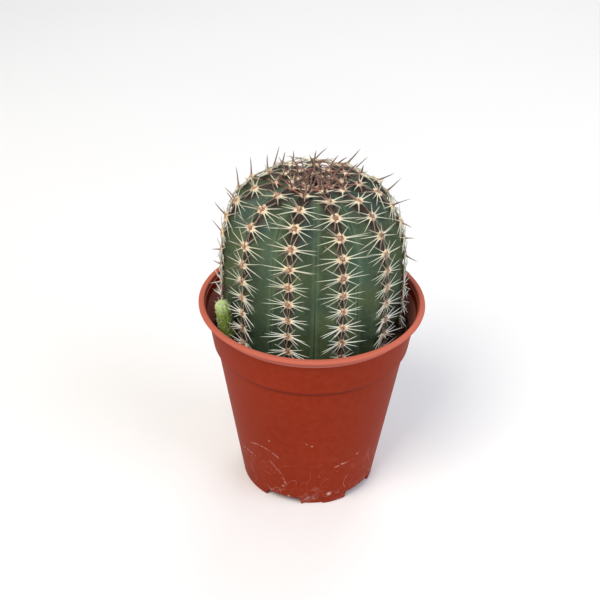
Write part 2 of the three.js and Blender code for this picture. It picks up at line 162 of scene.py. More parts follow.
# What the spines on the plant keep clear of, and then the shoot's bristles, in millimetres
WALL_RADIUS = (29.2, 30.2)
OVER_RIM = (0.6, 0.2)
OVER_SOIL = (0.8, 0.5)
ROUND_SHOOT = 0.9
OVER_SHOOT = 0.6

# How each kind of spine stands round an areole: the felt's hairs, the radial and the central spines, and the
# shoot's bristles
HAIRS, RADIALS, CENTRALS, BRISTLES = range(4)
FAN_SHARES = {
    "Amount": (22, 14, 0.6, 3),
    "Shoulder Amount": (0, -3, 0.3, 0),
    "Crown Amount": (0, -5, 0.9, 0),
    "Upright Share": (0, -0.45, 0.1, 0),
    "Length Varies": (0.35, 0.26, 0.3, 0.4),
    "Shoulder Thickness": (0, 0.1, 0.2, 0),
    "Crown Thickness": (0, 0.8, 0.25, 0),
    "Bend": (2, 1.8, 3, 4),
    "Sideways": (0, 0.3, 0, 0),
}
FAN_SIZES = {  # in millimetres
    "Length": (0.7, 5.7, 3.4, 1),
    "Shoulder Length": (0, 1.6, 1.6, 0),
    "Crown Length": (0, -4, -0.4, 0),
    "Thickness": (0.05, 0.15, 0.195, 0.05),
    "Root Width": (0.55, 0.85, 0.25, 0.1),
    "Root Length": (0.7, 0.85, 0.35, 0.1),
    "Root Height": (0.15, 0.1, 0.2, 0),
}
FAN_TURNS = {  # in degrees
    "Lift": (40, 20, 44, 24),
    "Steep Lift": (0, -12, 10, 0),
    "Upper Lift": (0, -14, 0, 0),
    "Shoulder Lift": (0, -11, 0, 0),
    "Crown Lift": (0, 26, -6, 0),
    "Lift Varies": (35, 5, 14, 18),
    "Crown Varies": (0, 14, 14, 0),
    "Turn Varies": (12, 8, 40, 30),
    "Spin Varies": (180, 50, 180, 180),
}

# Stage
FLOOR_RADIUS = 4000
FLOOR_COLUMNS = 96

# Kinds of node that stand in many lines below, and the inputs of a random value
MAP = "ShaderNodeMapRange"
NOISE = "ShaderNodeTexNoise"
ATTRIBUTE = "ShaderNodeAttribute"
COMBINE = "ShaderNodeCombineXYZ"
SEPARATE = "ShaderNodeSeparateXYZ"
NAMED = "GeometryNodeInputNamedAttribute"
RANDOM = "FunctionNodeRandomValue"
STORE = "GeometryNodeStoreNamedAttribute"
MOVE = "GeometryNodeSetPosition"
INSTANCES = "GeometryNodeInstanceOnPoints"
REALIZE = "GeometryNodeRealizeInstances"
LOW, HIGH, ID, SEED = 2, 3, 7, 8


def linear(code):
    """An sRGB hex colour as linear red, green and blue."""
    channels = [int(code[i : i + 2], 16) / 255 for i in (1, 3, 5)]
    return tuple(c / 12.92 if c <= 0.04045 else ((c + 0.055) / 1.055) ** 2.4 for c in channels)


def pattern(size, detail, **more):
    """The inputs of a pattern whose grains have this size in millimetres."""
    return {"Scale": 1 / (size * MM), "Detail": detail, **more}


def add_node(tree, kind, *values, out=0, **settings):
    """Adds a node with its settings and its inputs, in order or by name, and gives one of its outputs, or the
    node where out is None. A kind in capitals is an operation of Math, or of Vector Math after "vector". As a
    value, the name of one of the tree's own inputs stands for what that input gives."""
    if kind.isupper():
        kind, settings = "ShaderNodeMath", {"operation": kind, **settings}
    elif kind.startswith("vector "):
        kind, settings = "ShaderNodeVectorMath", {"operation": kind.split()[1], **settings}
    node = tree.nodes.new(kind)
    for key, value in settings.items():
        setattr(node, key, value)
    inputs = {}
    for place, value in enumerate(values):
        inputs.update(value if isinstance(value, dict) else {place: value})
    for key, value in inputs.items():
        socket = node.inputs[key]
        for part in value if isinstance(value, list) else [value]:
            if isinstance(part, str) and socket.type != "STRING":
                part = tree.nodes["Group Input"].outputs[part]
            if isinstance(part, bpy.types.NodeSocket):
                tree.links.new(part, socket)
            else:
                socket.default_value = (*part, 1.0) if socket.type == "RGBA" else part
    return node if out is None else node.outputs[out]


def layered(add, colour, *layers):
    """A colour under others, each laid on by its share. A colour is linear, a hex code or a socket."""
    for share, over in layers:
        lower, upper = (linear(tint) if isinstance(tint, str) else tint for tint in (colour, over))
        colour = add("ShaderNodeMix", {0: share, 6: lower, 7: upper}, out=2, data_type="RGBA")
    return colour


# Sizes and colours that a user may change


def colour_property(name, description, code):
    """A colour to choose, from a hex code."""
    values = {"subtype": "COLOR", "size": 3, "default": linear(code)}
    return FloatVectorProperty(name=name, description=description, **values)


def length_property(name, description, size):
    """A length to choose, from a size in millimetres."""
    return FloatProperty(name=name, description=description, subtype="DISTANCE", default=size * MM)


class PotSettings(bpy.types.PropertyGroup):
    """The pot's finish."""

    plastic: colour_property("Plastic", "Colour of the moulded wall", "#892a12")
    # The lip's colour, lighter than the wall's, is a painted highlight
    lip: colour_property("Lip", "Colour of the rolled lip", "#bd6552")
    scale_marks: FloatProperty(
        name="Scale marks", description="Strength of the chalky scuffs", subtype="FACTOR", default=0.7
    )


class SoilSettings(bpy.types.PropertyGroup):
    """The potting mix."""

    peat: colour_property("Peat", "Colour of the mix", "#3a211b")
    grain: length_property("Grain", "Diameter of a mean crumb", 0.8)
    density: FloatProperty(name="Density", description="Crumbs on a square metre", default=1.7e6)


class PlantSettings(bpy.types.PropertyGroup):
    """The ribbed body."""

    skin: colour_property("Skin", "Colour of the flanks", "#374834")
    upper_skin: colour_property("Upper skin", "Colour of the shoulder", "#2f4037")
    crease_depth: length_property("Crease", "Depth of the thin line in each groove", 0.2)
    knob: length_property("Knob", "Height of the swelling under an areole", 0.55)


class SpineSettings(bpy.types.PropertyGroup):
    """The felt and the spines on the areoles."""

    radials: IntProperty(
        name="Radials", description="Radial spines on an areole", default=FAN_SHARES["Amount"][RADIALS]
    )
    radial_length: length_property("Radial length", "Of a radial spine", FAN_SIZES["Length"][RADIALS])
    radial_radius: length_property("Radial radius", "Over its bulb", FAN_SIZES["Thickness"][RADIALS])
    central_length: length_property("Central length", "Of a central spine", FAN_SIZES["Length"][CENTRALS])
    central_radius: length_property("Central radius", "Over its bulb", FAN_SIZES["Thickness"][CENTRALS])
    shaft: colour_property("Shaft", "Colour of a radial spine", "#bac3ae")
    felt: colour_property("Felt", "Colour of the felt", "#f2dcb4")


class ShootSettings(bpy.types.PropertyGroup):
    """The young shoot."""

    lime: colour_property("Young skin", "Colour of the shoot", "#86a344")
    hair_length: length_property("Hair length", "Length of a bristle", FAN_SIZES["Length"][BRISTLES])


class StageSettings(bpy.types.PropertyGroup):
    """The floor, the lights and the camera."""

    floor: colour_property("Floor", "Colour of the floor", "#f4f4f4")
    elevation: FloatProperty(
        name="Elevation", description="Height of the camera's view", subtype="ANGLE", default=32.2 * DEG
    )
    roll: FloatProperty(
        name="Roll", description="Turn about the view's axis", subtype="ANGLE", default=1.4 * DEG
    )
    distance: length_property("Distance", "From the camera to the pot's rim", 340)
    lens: FloatProperty(name="Lens", description="Focal length", subtype="DISTANCE_CAMERA", default=71.04)


# Meshes, trees and materials


def outward(azimuth):
    """The level direction at an azimuth in degrees: 0 faces -Y and 90 faces +X."""
    turn = np.asarray(azimuth) * DEG
    return np.stack([np.sin(turn), -np.cos(turn), np.zeros_like(turn)], -1)


def smoothstep(value, low, high):
    """0 at the low end, 1 at the high end and a smooth rise between."""
    share = np.clip((value - low) / (high - low), 0, 1)
    return share * share * (3 - 2 * share)


def new_piece(name, points, faces, attributes=None):
    """A smooth mesh object from points in millimetres, with a number or a vector for each as attributes."""
    mesh = bpy.data.meshes.new(name)
    mesh.from_pydata((np.asarray(points, float) * MM).tolist(), [], faces)
    for key, values in (attributes or {}).items():
        values = np.asarray(values, np.float32)
        kind, slot = ("FLOAT_VECTOR", "vector") if values.ndim == 2 else ("FLOAT", "value")
        mesh.attributes.new(key, kind, "POINT").data.foreach_set(slot, values.ravel())
    mesh.shade_smooth()
    mesh.validate()
    piece = bpy.data.objects.new(name, mesh)
    bpy.context.scene.collection.objects.link(piece)
    return piece


def ring_piece(name, rings, bottom, top, attributes=None):
    """A closed skin of rings, shaped (rows, columns, 3), that run up its outside between two poles."""
    rows, columns = rings.shape[:2]
    index = np.arange(rows * columns).reshape(rows, columns)
    after = np.roll(index, -1, axis=1)
    faces = np.stack([index[:-1], after[:-1], after[1:], index[1:]], -1).reshape(-1, 4).tolist()
    faces += [(int(b), int(a), rows * columns) for a, b in zip(index[0], after[0])]
    faces += [(int(a), int(b), rows * columns + 1) for a, b in zip(index[-1], after[-1])]
    points = np.concatenate([rings.reshape(-1, 3), [bottom, top]])
    return new_piece(name, points, faces, attributes)


def turned(radius, height, azimuth):
    """Rings about Z, from a radius and a height for each row, or for each point."""
    rings = radius[..., None] * outward(azimuth)[None]
    rings[..., 2] = height
    return rings


def resampled(line, spacing):
    """Points along a line of [radius, height] corners, no further apart than the spacing."""
    dense = [np.asarray(line[0], float)]
    for start, end in zip(line[:-1], line[1:]):
        start, end = np.asarray(start, float), np.asarray(end, float)
        steps = max(1, math.ceil(np.linalg.norm(end - start) / spacing))
        dense += [start + (end - start) * i / steps for i in range(1, steps + 1)]
    return np.array(dense)


def arc(centre, radius, start, end, steps):
    """Corners of an arc in the profile's plane, from one angle in degrees to another."""
    turns = np.linspace(start, end, steps + 1) * DEG
    return [(centre[0] + radius * math.cos(a), centre[1] + radius * math.sin(a)) for a in turns]


def settle(piece, modifier):
    """Leaves a modifier's result on a piece as a plain mesh."""
    depsgraph = bpy.context.evaluated_depsgraph_get()
    mesh = bpy.data.meshes.new_from_object(piece.evaluated_get(depsgraph), depsgraph=depsgraph)
    mesh.name = piece.name
    piece.modifiers.remove(modifier)
    piece.data = mesh


def grow(piece, tree, values):
    """Runs a node tree on a piece with these inputs."""
    modifier = piece.modifiers.new("Grow", "NODES")
    modifier.node_group = tree
    for item in tree.interface.items_tree:
        if item.in_out == "INPUT" and item.name in values:
            modifier[item.identifier] = values[item.name]
    settle(piece, modifier)


def hand_over(piece, node, material=None):
    """Gives a finished piece its material and its place in the frame."""
    if material:
        piece.data.materials.clear()
        piece.data.materials.append(material)
    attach(piece, "root")
    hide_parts(node)


def new_tree(name, numbers, counts=("Seed",)):
    """An empty geometry tree with a geometry, named numbers and counts and a material as inputs."""
    tree = bpy.data.node_groups.new(name, "GeometryNodeTree")
    kinds = {"Geometry": "NodeSocketGeometry"}
    kinds.update({word: "NodeSocketFloat" for word in numbers})
    kinds.update({word: "NodeSocketInt" for word in counts}, Material="NodeSocketMaterial")
    for word, kind in kinds.items():
        tree.interface.new_socket(word, in_out="INPUT", socket_type=kind)
    tree.interface.new_socket("Geometry", in_out="OUTPUT", socket_type="NodeSocketGeometry")
    tree.nodes.new("NodeGroupInput")
    return partial(add_node, tree)


def end_tree(add, geometry):
    """Realizes the instances, sets the material and ends the tree."""
    smooth = add("GeometryNodeSetShadeSmooth", add(REALIZE, geometry))
    dressed = add("GeometryNodeSetMaterial", {"Geometry": smooth, "Material": "Material"})
    return add("NodeGroupOutput", dressed, out=None).id_data


def roughened(add, geometry, size, detail, depth):
    """Moves every point of a geometry about, by noise of this grain and depth in millimetres."""
    noise = add(NOISE, pattern(size, detail), out=1)
    centred = add("vector SUBTRACT", noise, (0.5, 0.5, 0.5))
    push = add("vector SCALE", centred, {"Scale": depth * MM})
    return add(MOVE, {"Geometry": geometry, "Offset": push})


def aimed(add, axis, side, angle):
    """A rotation that points Z along an axis and X near a side, and then turns by an angle about the axis."""
    axes = {"Primary Axis": axis, "Secondary Axis": side}
    towards = add("FunctionNodeAxesToRotation", axes, primary_axis="Z", secondary_axis="X")
    about = add("FunctionNodeAxisAngleToRotation", {"Axis": (0.0, 0.0, 1.0), "Angle": angle})
    return add("FunctionNodeRotateRotation", towards, about, rotation_space="LOCAL")


def translucent(weight, reaches, depth):
    """The shader's inputs for light that scatters under a surface, as deep as this in millimetres."""
    return {"Subsurface Weight": weight, "Subsurface Radius": reaches, "Subsurface Scale": depth * MM}


def new_material(name, constants):
    """A material with one Principled shader, whose sockets hold these constants."""
    material = bpy.data.materials.new(name)
    material.use_nodes = True
    for key, value in constants.items():
        material.node_tree.nodes["Principled BSDF"].inputs[key].default_value = value
    return material, partial(add_node, material.node_tree)


def dress(material, results, height=None, strength=0.0, depth=0.0):
    """Links results to the shader, with a relief of this strength and depth in millimetres."""
    tree = material.node_tree
    if height is not None:
        relief = {"Height": height, "Strength": strength, "Distance": depth * MM}
        results["Normal"] = add_node(tree, "ShaderNodeBump", relief)
    for key, result in results.items():
        tree.links.new(result, tree.nodes["Principled BSDF"].inputs[key])
    return material


# Pot


def inner_radius(z):
    """Radius of the pot's inner wall at a height."""
    low = np.interp(z, [0, STEP_HEIGHT], [BASE_RADIUS, COLLAR_FOOT_RADIUS - STEP])
    high = np.interp(z, [STEP_HEIGHT, LIP_FOOT], [COLLAR_FOOT_RADIUS, COLLAR_TOP_RADIUS])
    return float(np.where(z < STEP_HEIGHT, low, high) - WALL)


def pot_profile():
    """The pot's section as [radius, height] points, up the outside and down the inside, with a round lip."""
    floor_top = FOOT_HEIGHT + FLOOR_THICKNESS
    foot_inside = BASE_RADIUS - FOOT_WIDTH
    under_step = STEP_HEIGHT - STEP
    lip = LIP_HEIGHT / 2
    inner_lip = lip * 0.8
    slope = (COLLAR_FOOT_RADIUS - STEP - BASE_RADIUS) / STEP_HEIGHT
    corners = [
        (DRAIN_RADIUS / 2, FOOT_HEIGHT),
        (foot_inside - FOOT_EDGE, FOOT_HEIGHT),
        *arc((foot_inside - FOOT_EDGE, FOOT_HEIGHT - FOOT_EDGE), FOOT_EDGE, 90, 0, 3),
        *arc((foot_inside + FOOT_EDGE, FOOT_EDGE), FOOT_EDGE, 180, 270, 3),
        *arc((BASE_RADIUS - FOOT_EDGE, FOOT_EDGE), FOOT_EDGE, 270, 360, 4),
        (BASE_RADIUS + slope * under_step, under_step),
        *arc((COLLAR_FOOT_RADIUS - STEP * 0.35, STEP_HEIGHT + STEP * 0.1), STEP * 0.35, -90, 0, 5),
        (COLLAR_TOP_RADIUS - 0.05, LIP_FOOT - 0.35),
        *arc((COLLAR_TOP_RADIUS + 0.25, LIP_FOOT - 0.3), 0.3, 180, 90, 3),
        *arc((RIM_RADIUS - lip, POT_HEIGHT - lip), lip, -90, 90, 12),
        *arc((RIM_RADIUS - LIP_WIDTH + inner_lip, POT_HEIGHT - inner_lip), inner_lip, 90, 200, 8),
        (inner_radius(STEP_HEIGHT + STEP), STEP_HEIGHT + STEP),
        (inner_radius(under_step), under_step),
        *arc((inner_radius(floor_top + 1) - 1, floor_top + 1), 1, 0, -90, 4),
        (DRAIN_RADIUS / 2, floor_top),
    ]
    return resampled(corners, 0.9)


def foot_lift(azimuth):
    """How far the foot ring is cut away at an azimuth: 0 on a foot, and nearly its height in a notch."""
    pitch = 360 / FOOT_COUNT
    off = np.abs((azimuth - FOOT_AZIMUTH + pitch / 2) % pitch - pitch / 2)
    cut = np.clip((off - FOOT_SPAN / 2) / NOTCH_SLOPE + 0.5, 0, 1)
    return cut * (FOOT_HEIGHT - NOTCH_EDGE)


def arch_mask(across, z):
    """1 inside the round-topped recess in the front foot."""
    half = ARCH_WIDTH / 2
    top = ARCH_HEIGHT - half
    reach = np.where(z > top, np.hypot(across, z - top), np.abs(across))
    return 1 - smoothstep(reach, half - 0.45, half + 0.05)


def build_pot_shell():
    """The pot: turned walls, with the feet, the notches and the recess moved into them, and drilled holes."""
    profile = pot_profile()
    row = np.arange(len(profile))[:, None]
    azimuth = np.arange(POT_COLUMNS) * 360 / POT_COLUMNS
    radius = np.repeat(profile[:, :1], POT_COLUMNS, axis=1)
    height = np.repeat(profile[:, 1:], POT_COLUMNS, axis=1)
    lift = foot_lift(azimuth)[None, :]
    in_foot = (radius > BASE_RADIUS - FOOT_WIDTH - 0.01) & (height < FOOT_HEIGHT + 0.01)
    height = np.where(in_foot, lift + height * (FOOT_HEIGHT - lift) / FOOT_HEIGHT, height)
    on_wall = (row <= np.argmax(profile[:, 0])) & (radius > BASE_RADIUS - 0.5)
    across = ((azimuth - ARCH_AZIMUTH + 180) % 360 - 180) * DEG * BASE_RADIUS
    radius = radius - ARCH_DEPTH * np.where(on_wall, arch_mask(across[None, :], height), 0)
    rings = turned(radius, height, azimuth)
    inside = np.repeat(row > np.argmax(profile[:, 1]), POT_COLUMNS, axis=1).ravel().astype(float)
    poles = [(0, 0, FOOT_HEIGHT), (0, 0, FOOT_HEIGHT + FLOOR_THICKNESS)]
    pot = ring_piece("pot_shell", rings, *poles, {"inside": np.append(inside, [0, 1])})
    drill(pot, DRAIN_RADIUS, np.zeros(3))
    for i in range(FOOT_COUNT):
        drill(pot, SIDE_DRAIN_RADIUS, SIDE_DRAIN_OFFSET * outward(FOOT_AZIMUTH + 360 / FOOT_COUNT * i))
    return pot


def drill(pot, radius, at):
    """Cuts a drain hole through the floor."""
    middle = (FOOT_HEIGHT + FLOOR_THICKNESS) * np.array([0, 0, 1])
    turn = np.arange(DRAIN_COLUMNS) * 360 / DRAIN_COLUMNS
    ends = np.array([radius * outward(turn) + at + middle * share for share in (0.5, 1.5)])
    bit = ring_piece("drill", ends, at + middle * 0.5, at + middle * 1.5)
    cut = pot.modifiers.new("Drill", "BOOLEAN")
    cut.operation = "DIFFERENCE"
    cut.solver = "MANIFOLD"
    cut.object = bit
    settle(pot, cut)
    bpy.data.objects.remove(bit)


def polypropylene(settings):
    """Injection-moulded polypropylene: even and nearly matt from the mould, with a lip painted brighter as a
    highlight, painted shade under the step, chalky scuffs low down and painted light on the inner wall below
    the lip."""
    material, add = new_material("Moulded polypropylene", {"IOR": 1.49, "Specular IOR Level": 0.045})
    place = add("ShaderNodeTexCoord", out=3)
    xyz = add(SEPARATE, place, out=None).outputs
    # Clouds in the plastic, waves in its face, and its grain, which is drawn far coarser than it is, to show
    broad = add(NOISE, place, pattern(26, 2))
    waves = add(NOISE, place, pattern(8.3, 2))
    fine = add(NOISE, place, pattern(1.9, 4))
    inside = add(ATTRIBUTE, out=2, attribute_name="inside")
    outside = add("SUBTRACT", 1, inside)
    mottle = add(MAP, fine, 0.35, 0.7, 0, 0.07)
    # Painted highlight: the lip is coloured lighter than the wall
    lip_highlight = add(MAP, xyz[2], (LIP_FOOT - 0.5) * MM, (LIP_FOOT + 0.5) * MM)
    # Painted light: the inside is paler below the lip, standing in for light that reaches in
    below_lip = add(MAP, xyz[2], (LIP_FOOT - 2.5) * MM, (LIP_FOOT + 0.3) * MM, 0.85, 0)
    inner_painted_light = add("MULTIPLY", inside, below_lip)
    # Painted shade: a dark band just under the collar's step
    under_step = add("COMPARE", xyz[2], (STEP_HEIGHT - STEP) * MM, 0.9 * MM)
    painted_step_shade = add("MULTIPLY", add("MULTIPLY", under_step, outside), 0.3)
    chalk = chalk_mask(add, place, xyz, settings.scale_marks)
    deep, bright = (tuple(c * share for c in settings.plastic) for share in (0.88, 1.12))
    colour = layered(
        add, deep, (broad, bright), (mottle, settings.lip), (lip_highlight, settings.lip), (inner_painted_light, "#c67a6e"),
        (painted_step_shade, "#4a1408"), (chalk, "#e6c9bb"),
    )
    worn = add(MAP, fine, 0.3, 0.75, 0.44, 0.56)
    dull = add("MAXIMUM", add("MAXIMUM", worn, chalk), inner_painted_light)
    swell = add("MULTIPLY_ADD", waves, 3, fine)
    return dress(material, {"Base Color": colour, "Roughness": dull}, swell, 0.25, 0.05)


# Chalky marks on the wall. Each is an arc about a middle: its azimuth and height, its radius, its first and
# last degree, half its width and its strength. A spot is an arc of no radius that goes all the way round.
SCRATCHES = [
    (-35.5, 15.0, 6.1, 36, 128, 0.15, 1.0),
    (-50, 6.0, 9.2, 72, 112, 0.2, 0.7),
    (-58.7, 6.0, 14.4, 5, 46, 0.45, 0.3),
    (51.5, -22.9, 40, 98, 106, 0.16, 1.0),
    (44, 7.5, 4.5, 130, 215, 0.1, 0.7),
    (150, 12, 8, 60, 120, 0.13, 0.8),
    (-140, -20, 40, 84, 93, 0.13, 0.8),
]
SPOTS = [
    (-28.6, 24.9, 0, -180, 180, 0.32, 1.0),
    (-1.0, 26.5, 0, -180, 180, 0.28, 0.8),
    (2.7, 25.6, 0, -180, 180, 0.3, 0.9),
    (39.1, 18.3, 0, -180, 180, 0.4, 0.7),
    (25.5, 16.3, 0, -180, 180, 0.45, 0.8),
    (-20.3, 6.9, 0, -180, 180, 0.4, 0.7),
    (-18.1, 1.9, 0, -180, 180, 0.9, 1.0),
    (-15.7, 2.9, 0, -180, 180, 0.6, 0.9),
    (18.2, 4.0, 0, -180, 180, 0.9, 1.0),
    (120, 22, 0, -180, 180, 0.3, 0.8),
    (-110, 24, 0, -180, 180, 0.3, 0.8),
]


def mark_mask(add, marks, z, wall):
    """How strongly the marks of a list whiten each place on the wall."""
    shares = 0
    for turn, height, radius, first, last, width, strength in marks:
        side = add("SUBTRACT", wall, turn * DEG * BASE_RADIUS * MM)
        rise = add("SUBTRACT", z, height * MM)
        reach = add("vector LENGTH", add(COMBINE, side, rise), out=1)
        off = add("ABSOLUTE", add("SUBTRACT", reach, radius * MM))
        on_arc = add(MAP, off, width * 0.4 * MM, width * MM, strength, 0)
        middle = (first + last) / 2 * DEG
        angle = add("WRAP", add("ARCTAN2", rise, side), middle + math.pi, middle - math.pi)
        within = add("COMPARE", angle, middle, (last - first) / 2 * DEG)
        shares = add("MAXIMUM", shares, add("MULTIPLY", on_arc, within))
    return shares


def chalk_mask(add, place, xyz, strength):
    """Where lime scale whitens the wall: broken scratches, spots, and hairlines and a haze near the foot."""
    azimuth = add("ARCTAN2", xyz[0], add("MULTIPLY", xyz[1], -1))
    wobble = add(NOISE, place, pattern(3.9, 2))
    wander = add("MULTIPLY_ADD", wobble, 1.6 * MM, -0.8 * MM)
    wall = add("MULTIPLY_ADD", azimuth, BASE_RADIUS * MM, wander)
    broken = add(NOISE, place, pattern(1, 4))
    worn_through = add(MAP, broken, 0.38, 0.62)
    arcs = add("MULTIPLY", mark_mask(add, SCRATCHES, xyz[2], wall), worn_through)
    spots = add("MULTIPLY", mark_mask(add, SPOTS, xyz[2], wall), add(MAP, broken, 0.3, 0.5))
    swirl = add(NOISE, place, pattern(13.3, 2, Distortion=1.6))
    hairlines = add("MULTIPLY", add("COMPARE", swirl, 0.5, 0.0045), worn_through)
    cloud = add(NOISE, place, pattern(5.9, 6, Roughness=0.72))
    haze = add(MAP, cloud, 0.55, 0.8, 0, 0.4)
    low = add(MAP, xyz[2], 2 * MM, 22 * MM, 1, 0)
    low_marks = add("MULTIPLY", add("MULTIPLY_ADD", hairlines, 0.4, haze), low)
    very_low = add(MAP, xyz[2], 1 * MM, 6 * MM, 0.8, 0)
    crust = add("MULTIPLY", add(MAP, cloud, 0.62, 0.72), very_low)
    for more in (spots, low_marks, crust):
        arcs = add("MAXIMUM", arcs, more)
    return add("MULTIPLY", arcs, strength, use_clamp=True)


# Potting mix


def build_soil_bed():
    """The mix as a closed bed, with an uneven top and a hole in the shape of the plant's buried foot."""
    bottom = FOOT_HEIGHT + FLOOR_THICKNESS + 0.3
    corners = [(2, bottom), (inner_radius(bottom) - SOIL_GAP - 1, bottom)]
    corners += [(inner_radius(z) - SOIL_GAP, z) for z in (STEP_HEIGHT - STEP, STEP_HEIGHT + STEP, SOIL_TOP)]
    corners += [
        (SOIL_HOLE[0], SOIL_TOP),
        (SOIL_HOLE[1], SOIL_TOP - BURIED_DEPTH * 1.6),
        (ROOT_RADIUS * 2 + ROOT_GAP, ROOT_SHOULDER - 0.5),
        (ROOT_RADIUS + ROOT_GAP, ROOT_BOTTOM + 0.5),
        (2, ROOT_BOTTOM - ROOT_GAP),
    ]
    line = resampled(corners, 0.6)
    rings = turned(line[:, :1], line[:, 1:], np.arange(SOIL_COLUMNS) * 360 / SOIL_COLUMNS)
    top = np.repeat(line[:, 1:] > SOIL_TOP - 0.01, SOIL_COLUMNS, axis=1)
    x, y = rings[..., 0], rings[..., 1]
    swell = np.sin(1.9 * x + 0.6 * y) * np.cos(1.3 * y - 0.8 * x)
    crumb = np.sin(5.3 * x - 3.1 * y) * np.sin(4.7 * y + 2.2 * x)
    rings[..., 2] += np.where(top, SOIL_BUMP * (0.5 + 0.35 * swell + 0.25 * crumb), 0)
    poles = [(0, 0, bottom), (0, 0, ROOT_BOTTOM - ROOT_GAP)]
    return ring_piece("soil_bed", rings, *poles, {"top": np.append(top.ravel().astype(float), [0, 0])})


def grain_tree():
    """Strews crumbs and fibres over the bed's top."""
    add = new_tree("Strewn grains", ["Density", "Grain"])
    top = add(NAMED, "top")
    points = add(
        "GeometryNodeDistributePointsOnFaces",
        {"Mesh": "Geometry", "Selection": top, "Density": "Density", "Seed": "Seed"},
    )
    crumb = add("GeometryNodeMeshIcoSphere", {"Radius": 0.5, "Subdivisions": 1})
    fibre = add(
        "GeometryNodeMeshCone",
        {"Vertices": 4, "Side Segments": 2, "Radius Top": 0.02, "Radius Bottom": 0.06, "Depth": 2.6},
    )
    kinds = [add("GeometryNodeGeometryToInstance", shape) for shape in (fibre, crumb)]
    joined = add("GeometryNodeJoinGeometry", kinds)
    draw = add(RANDOM, {LOW: 0, HIGH: 1.06, SEED: 3}, out=1)
    size = add(RANDOM, {LOW: 0.45, HIGH: 1.7, SEED: 4}, out=1)
    turn = add(RANDOM, (0.0, 0.0, 0.0), (6.28, 6.28, 6.28), {SEED: 5}, data_type="FLOAT_VECTOR")
    tone = add(RANDOM, {LOW: 0, HIGH: 1, SEED: 6}, out=1)
    toned = add(STORE, {"Geometry": points, "Name": "tone", "Value": tone})
    strewn = add(
        INSTANCES,
        {"Points": toned, "Instance": joined, "Pick Instance": True, "Rotation": turn,
         "Instance Index": add("FLOOR", draw), "Scale": add("MULTIPLY", size, "Grain")},
    )
    real = add(REALIZE, strewn)
    return end_tree(add, roughened(add, real, 0.7, 1, 0.55))


def peat_mix(settings):
    """Peat potting mix: damp milled fibre, matt, with some dry pale crumbs."""
    material, add = new_material("Milled peat", {"Roughness": 0.93, "Specular IOR Level": 0.25})
    place = add("ShaderNodeTexCoord", out=3)
    crumbs = add(NOISE, place, pattern(1.1, 5, Roughness=0.65))
    tone = add(ATTRIBUTE, out=2, attribute_name="tone")
    damp = tuple(c * 0.35 for c in settings.peat)
    dry = add(MAP, tone, 0.8, 1, 0, 0.75)
    mixed = layered(add, damp, (crumbs, settings.peat), (dry, "#7a5a44"))
    return dress(material, {"Base Color": mixed}, crumbs, 0.9, 0.4)


# Plant body


def ridge_point(angle):
    """Radius and height of the ridge line at an angle of its superellipse."""
    power = 2 / SHOULDER_POWER
    radius = BODY_RADIUS * np.abs(np.cos(angle)) ** power
    rise = np.abs(np.sin(angle)) ** power
    dip = CROWN_DIP * np.exp(-((radius / CROWN_DIP_RADIUS) ** 2))
    height = np.where(angle < 0, WIDEST - LOWER_REACH * rise, WIDEST + CROWN_RISE * rise - dip)
    return radius, height


def bulge_share(height):
    """How much of the left shoulder's bulge there is at a height. The real plant has grown fuller there."""
    return np.exp(-(((height - BULGE_HEIGHT) / BULGE_REACH) ** 2))


def angle_below(z):
    """The angle below the widest at which the ridge reaches a height."""
    return -math.asin(((WIDEST - z) / LOWER_REACH) ** (SHOULDER_POWER / 2))


def ridge_track():
    """Distances from the rim's height along a ridge, with the superellipse's angle at each."""
    angles = np.linspace(angle_below(SOIL_TOP - BURIED_DEPTH), math.pi / 2, 4001)
    radius, height = ridge_point(angles)
    along = np.concatenate([[0], np.cumsum(np.hypot(np.diff(radius), np.diff(height)))])
    at_soil = np.interp(angle_below(SOIL_TOP), angles, along)
    return along - at_soil + SOIL_TOP - POT_HEIGHT, angles


TRACK, TRACK_ANGLES = ridge_track()
CROWN_AT = TRACK[-1]


def spacing_at(at):
    """Distance to the next areole along a ridge."""
    added = SHOULDER_SPACING * smoothstep(at - SPACING_DELAY, *SHOULDER_ZONE)
    return min(AREOLE_SPACING + added, CROWN_SPACING + CROWN_SPACING_GROWTH * (CROWN_AT - at))


def areole_stations(rib):
    """Where the areoles of a rib sit, as distances along its ridge."""
    at = ((FIRST_PHASE + PHASE_STEP * rib) % 1 - 2) * AREOLE_SPACING
    stations = []
    while at < CROWN_AT - CROWN_REACH:
        if at > SOIL_TOP - POT_HEIGHT + LOWEST_AREOLE:
            stations.append(at)
        at += spacing_at(at)
    return np.array(stations)


STATIONS = [areole_stations(rib) for rib in range(RIBS)]


def swelling(rib, at):
    """1 at an areole of a rib and 0 between two."""
    near = np.abs(at[:, None] - STATIONS[rib][None, :]).min(axis=1)
    return np.exp(-((near / KNOB_LENGTH) ** 2))


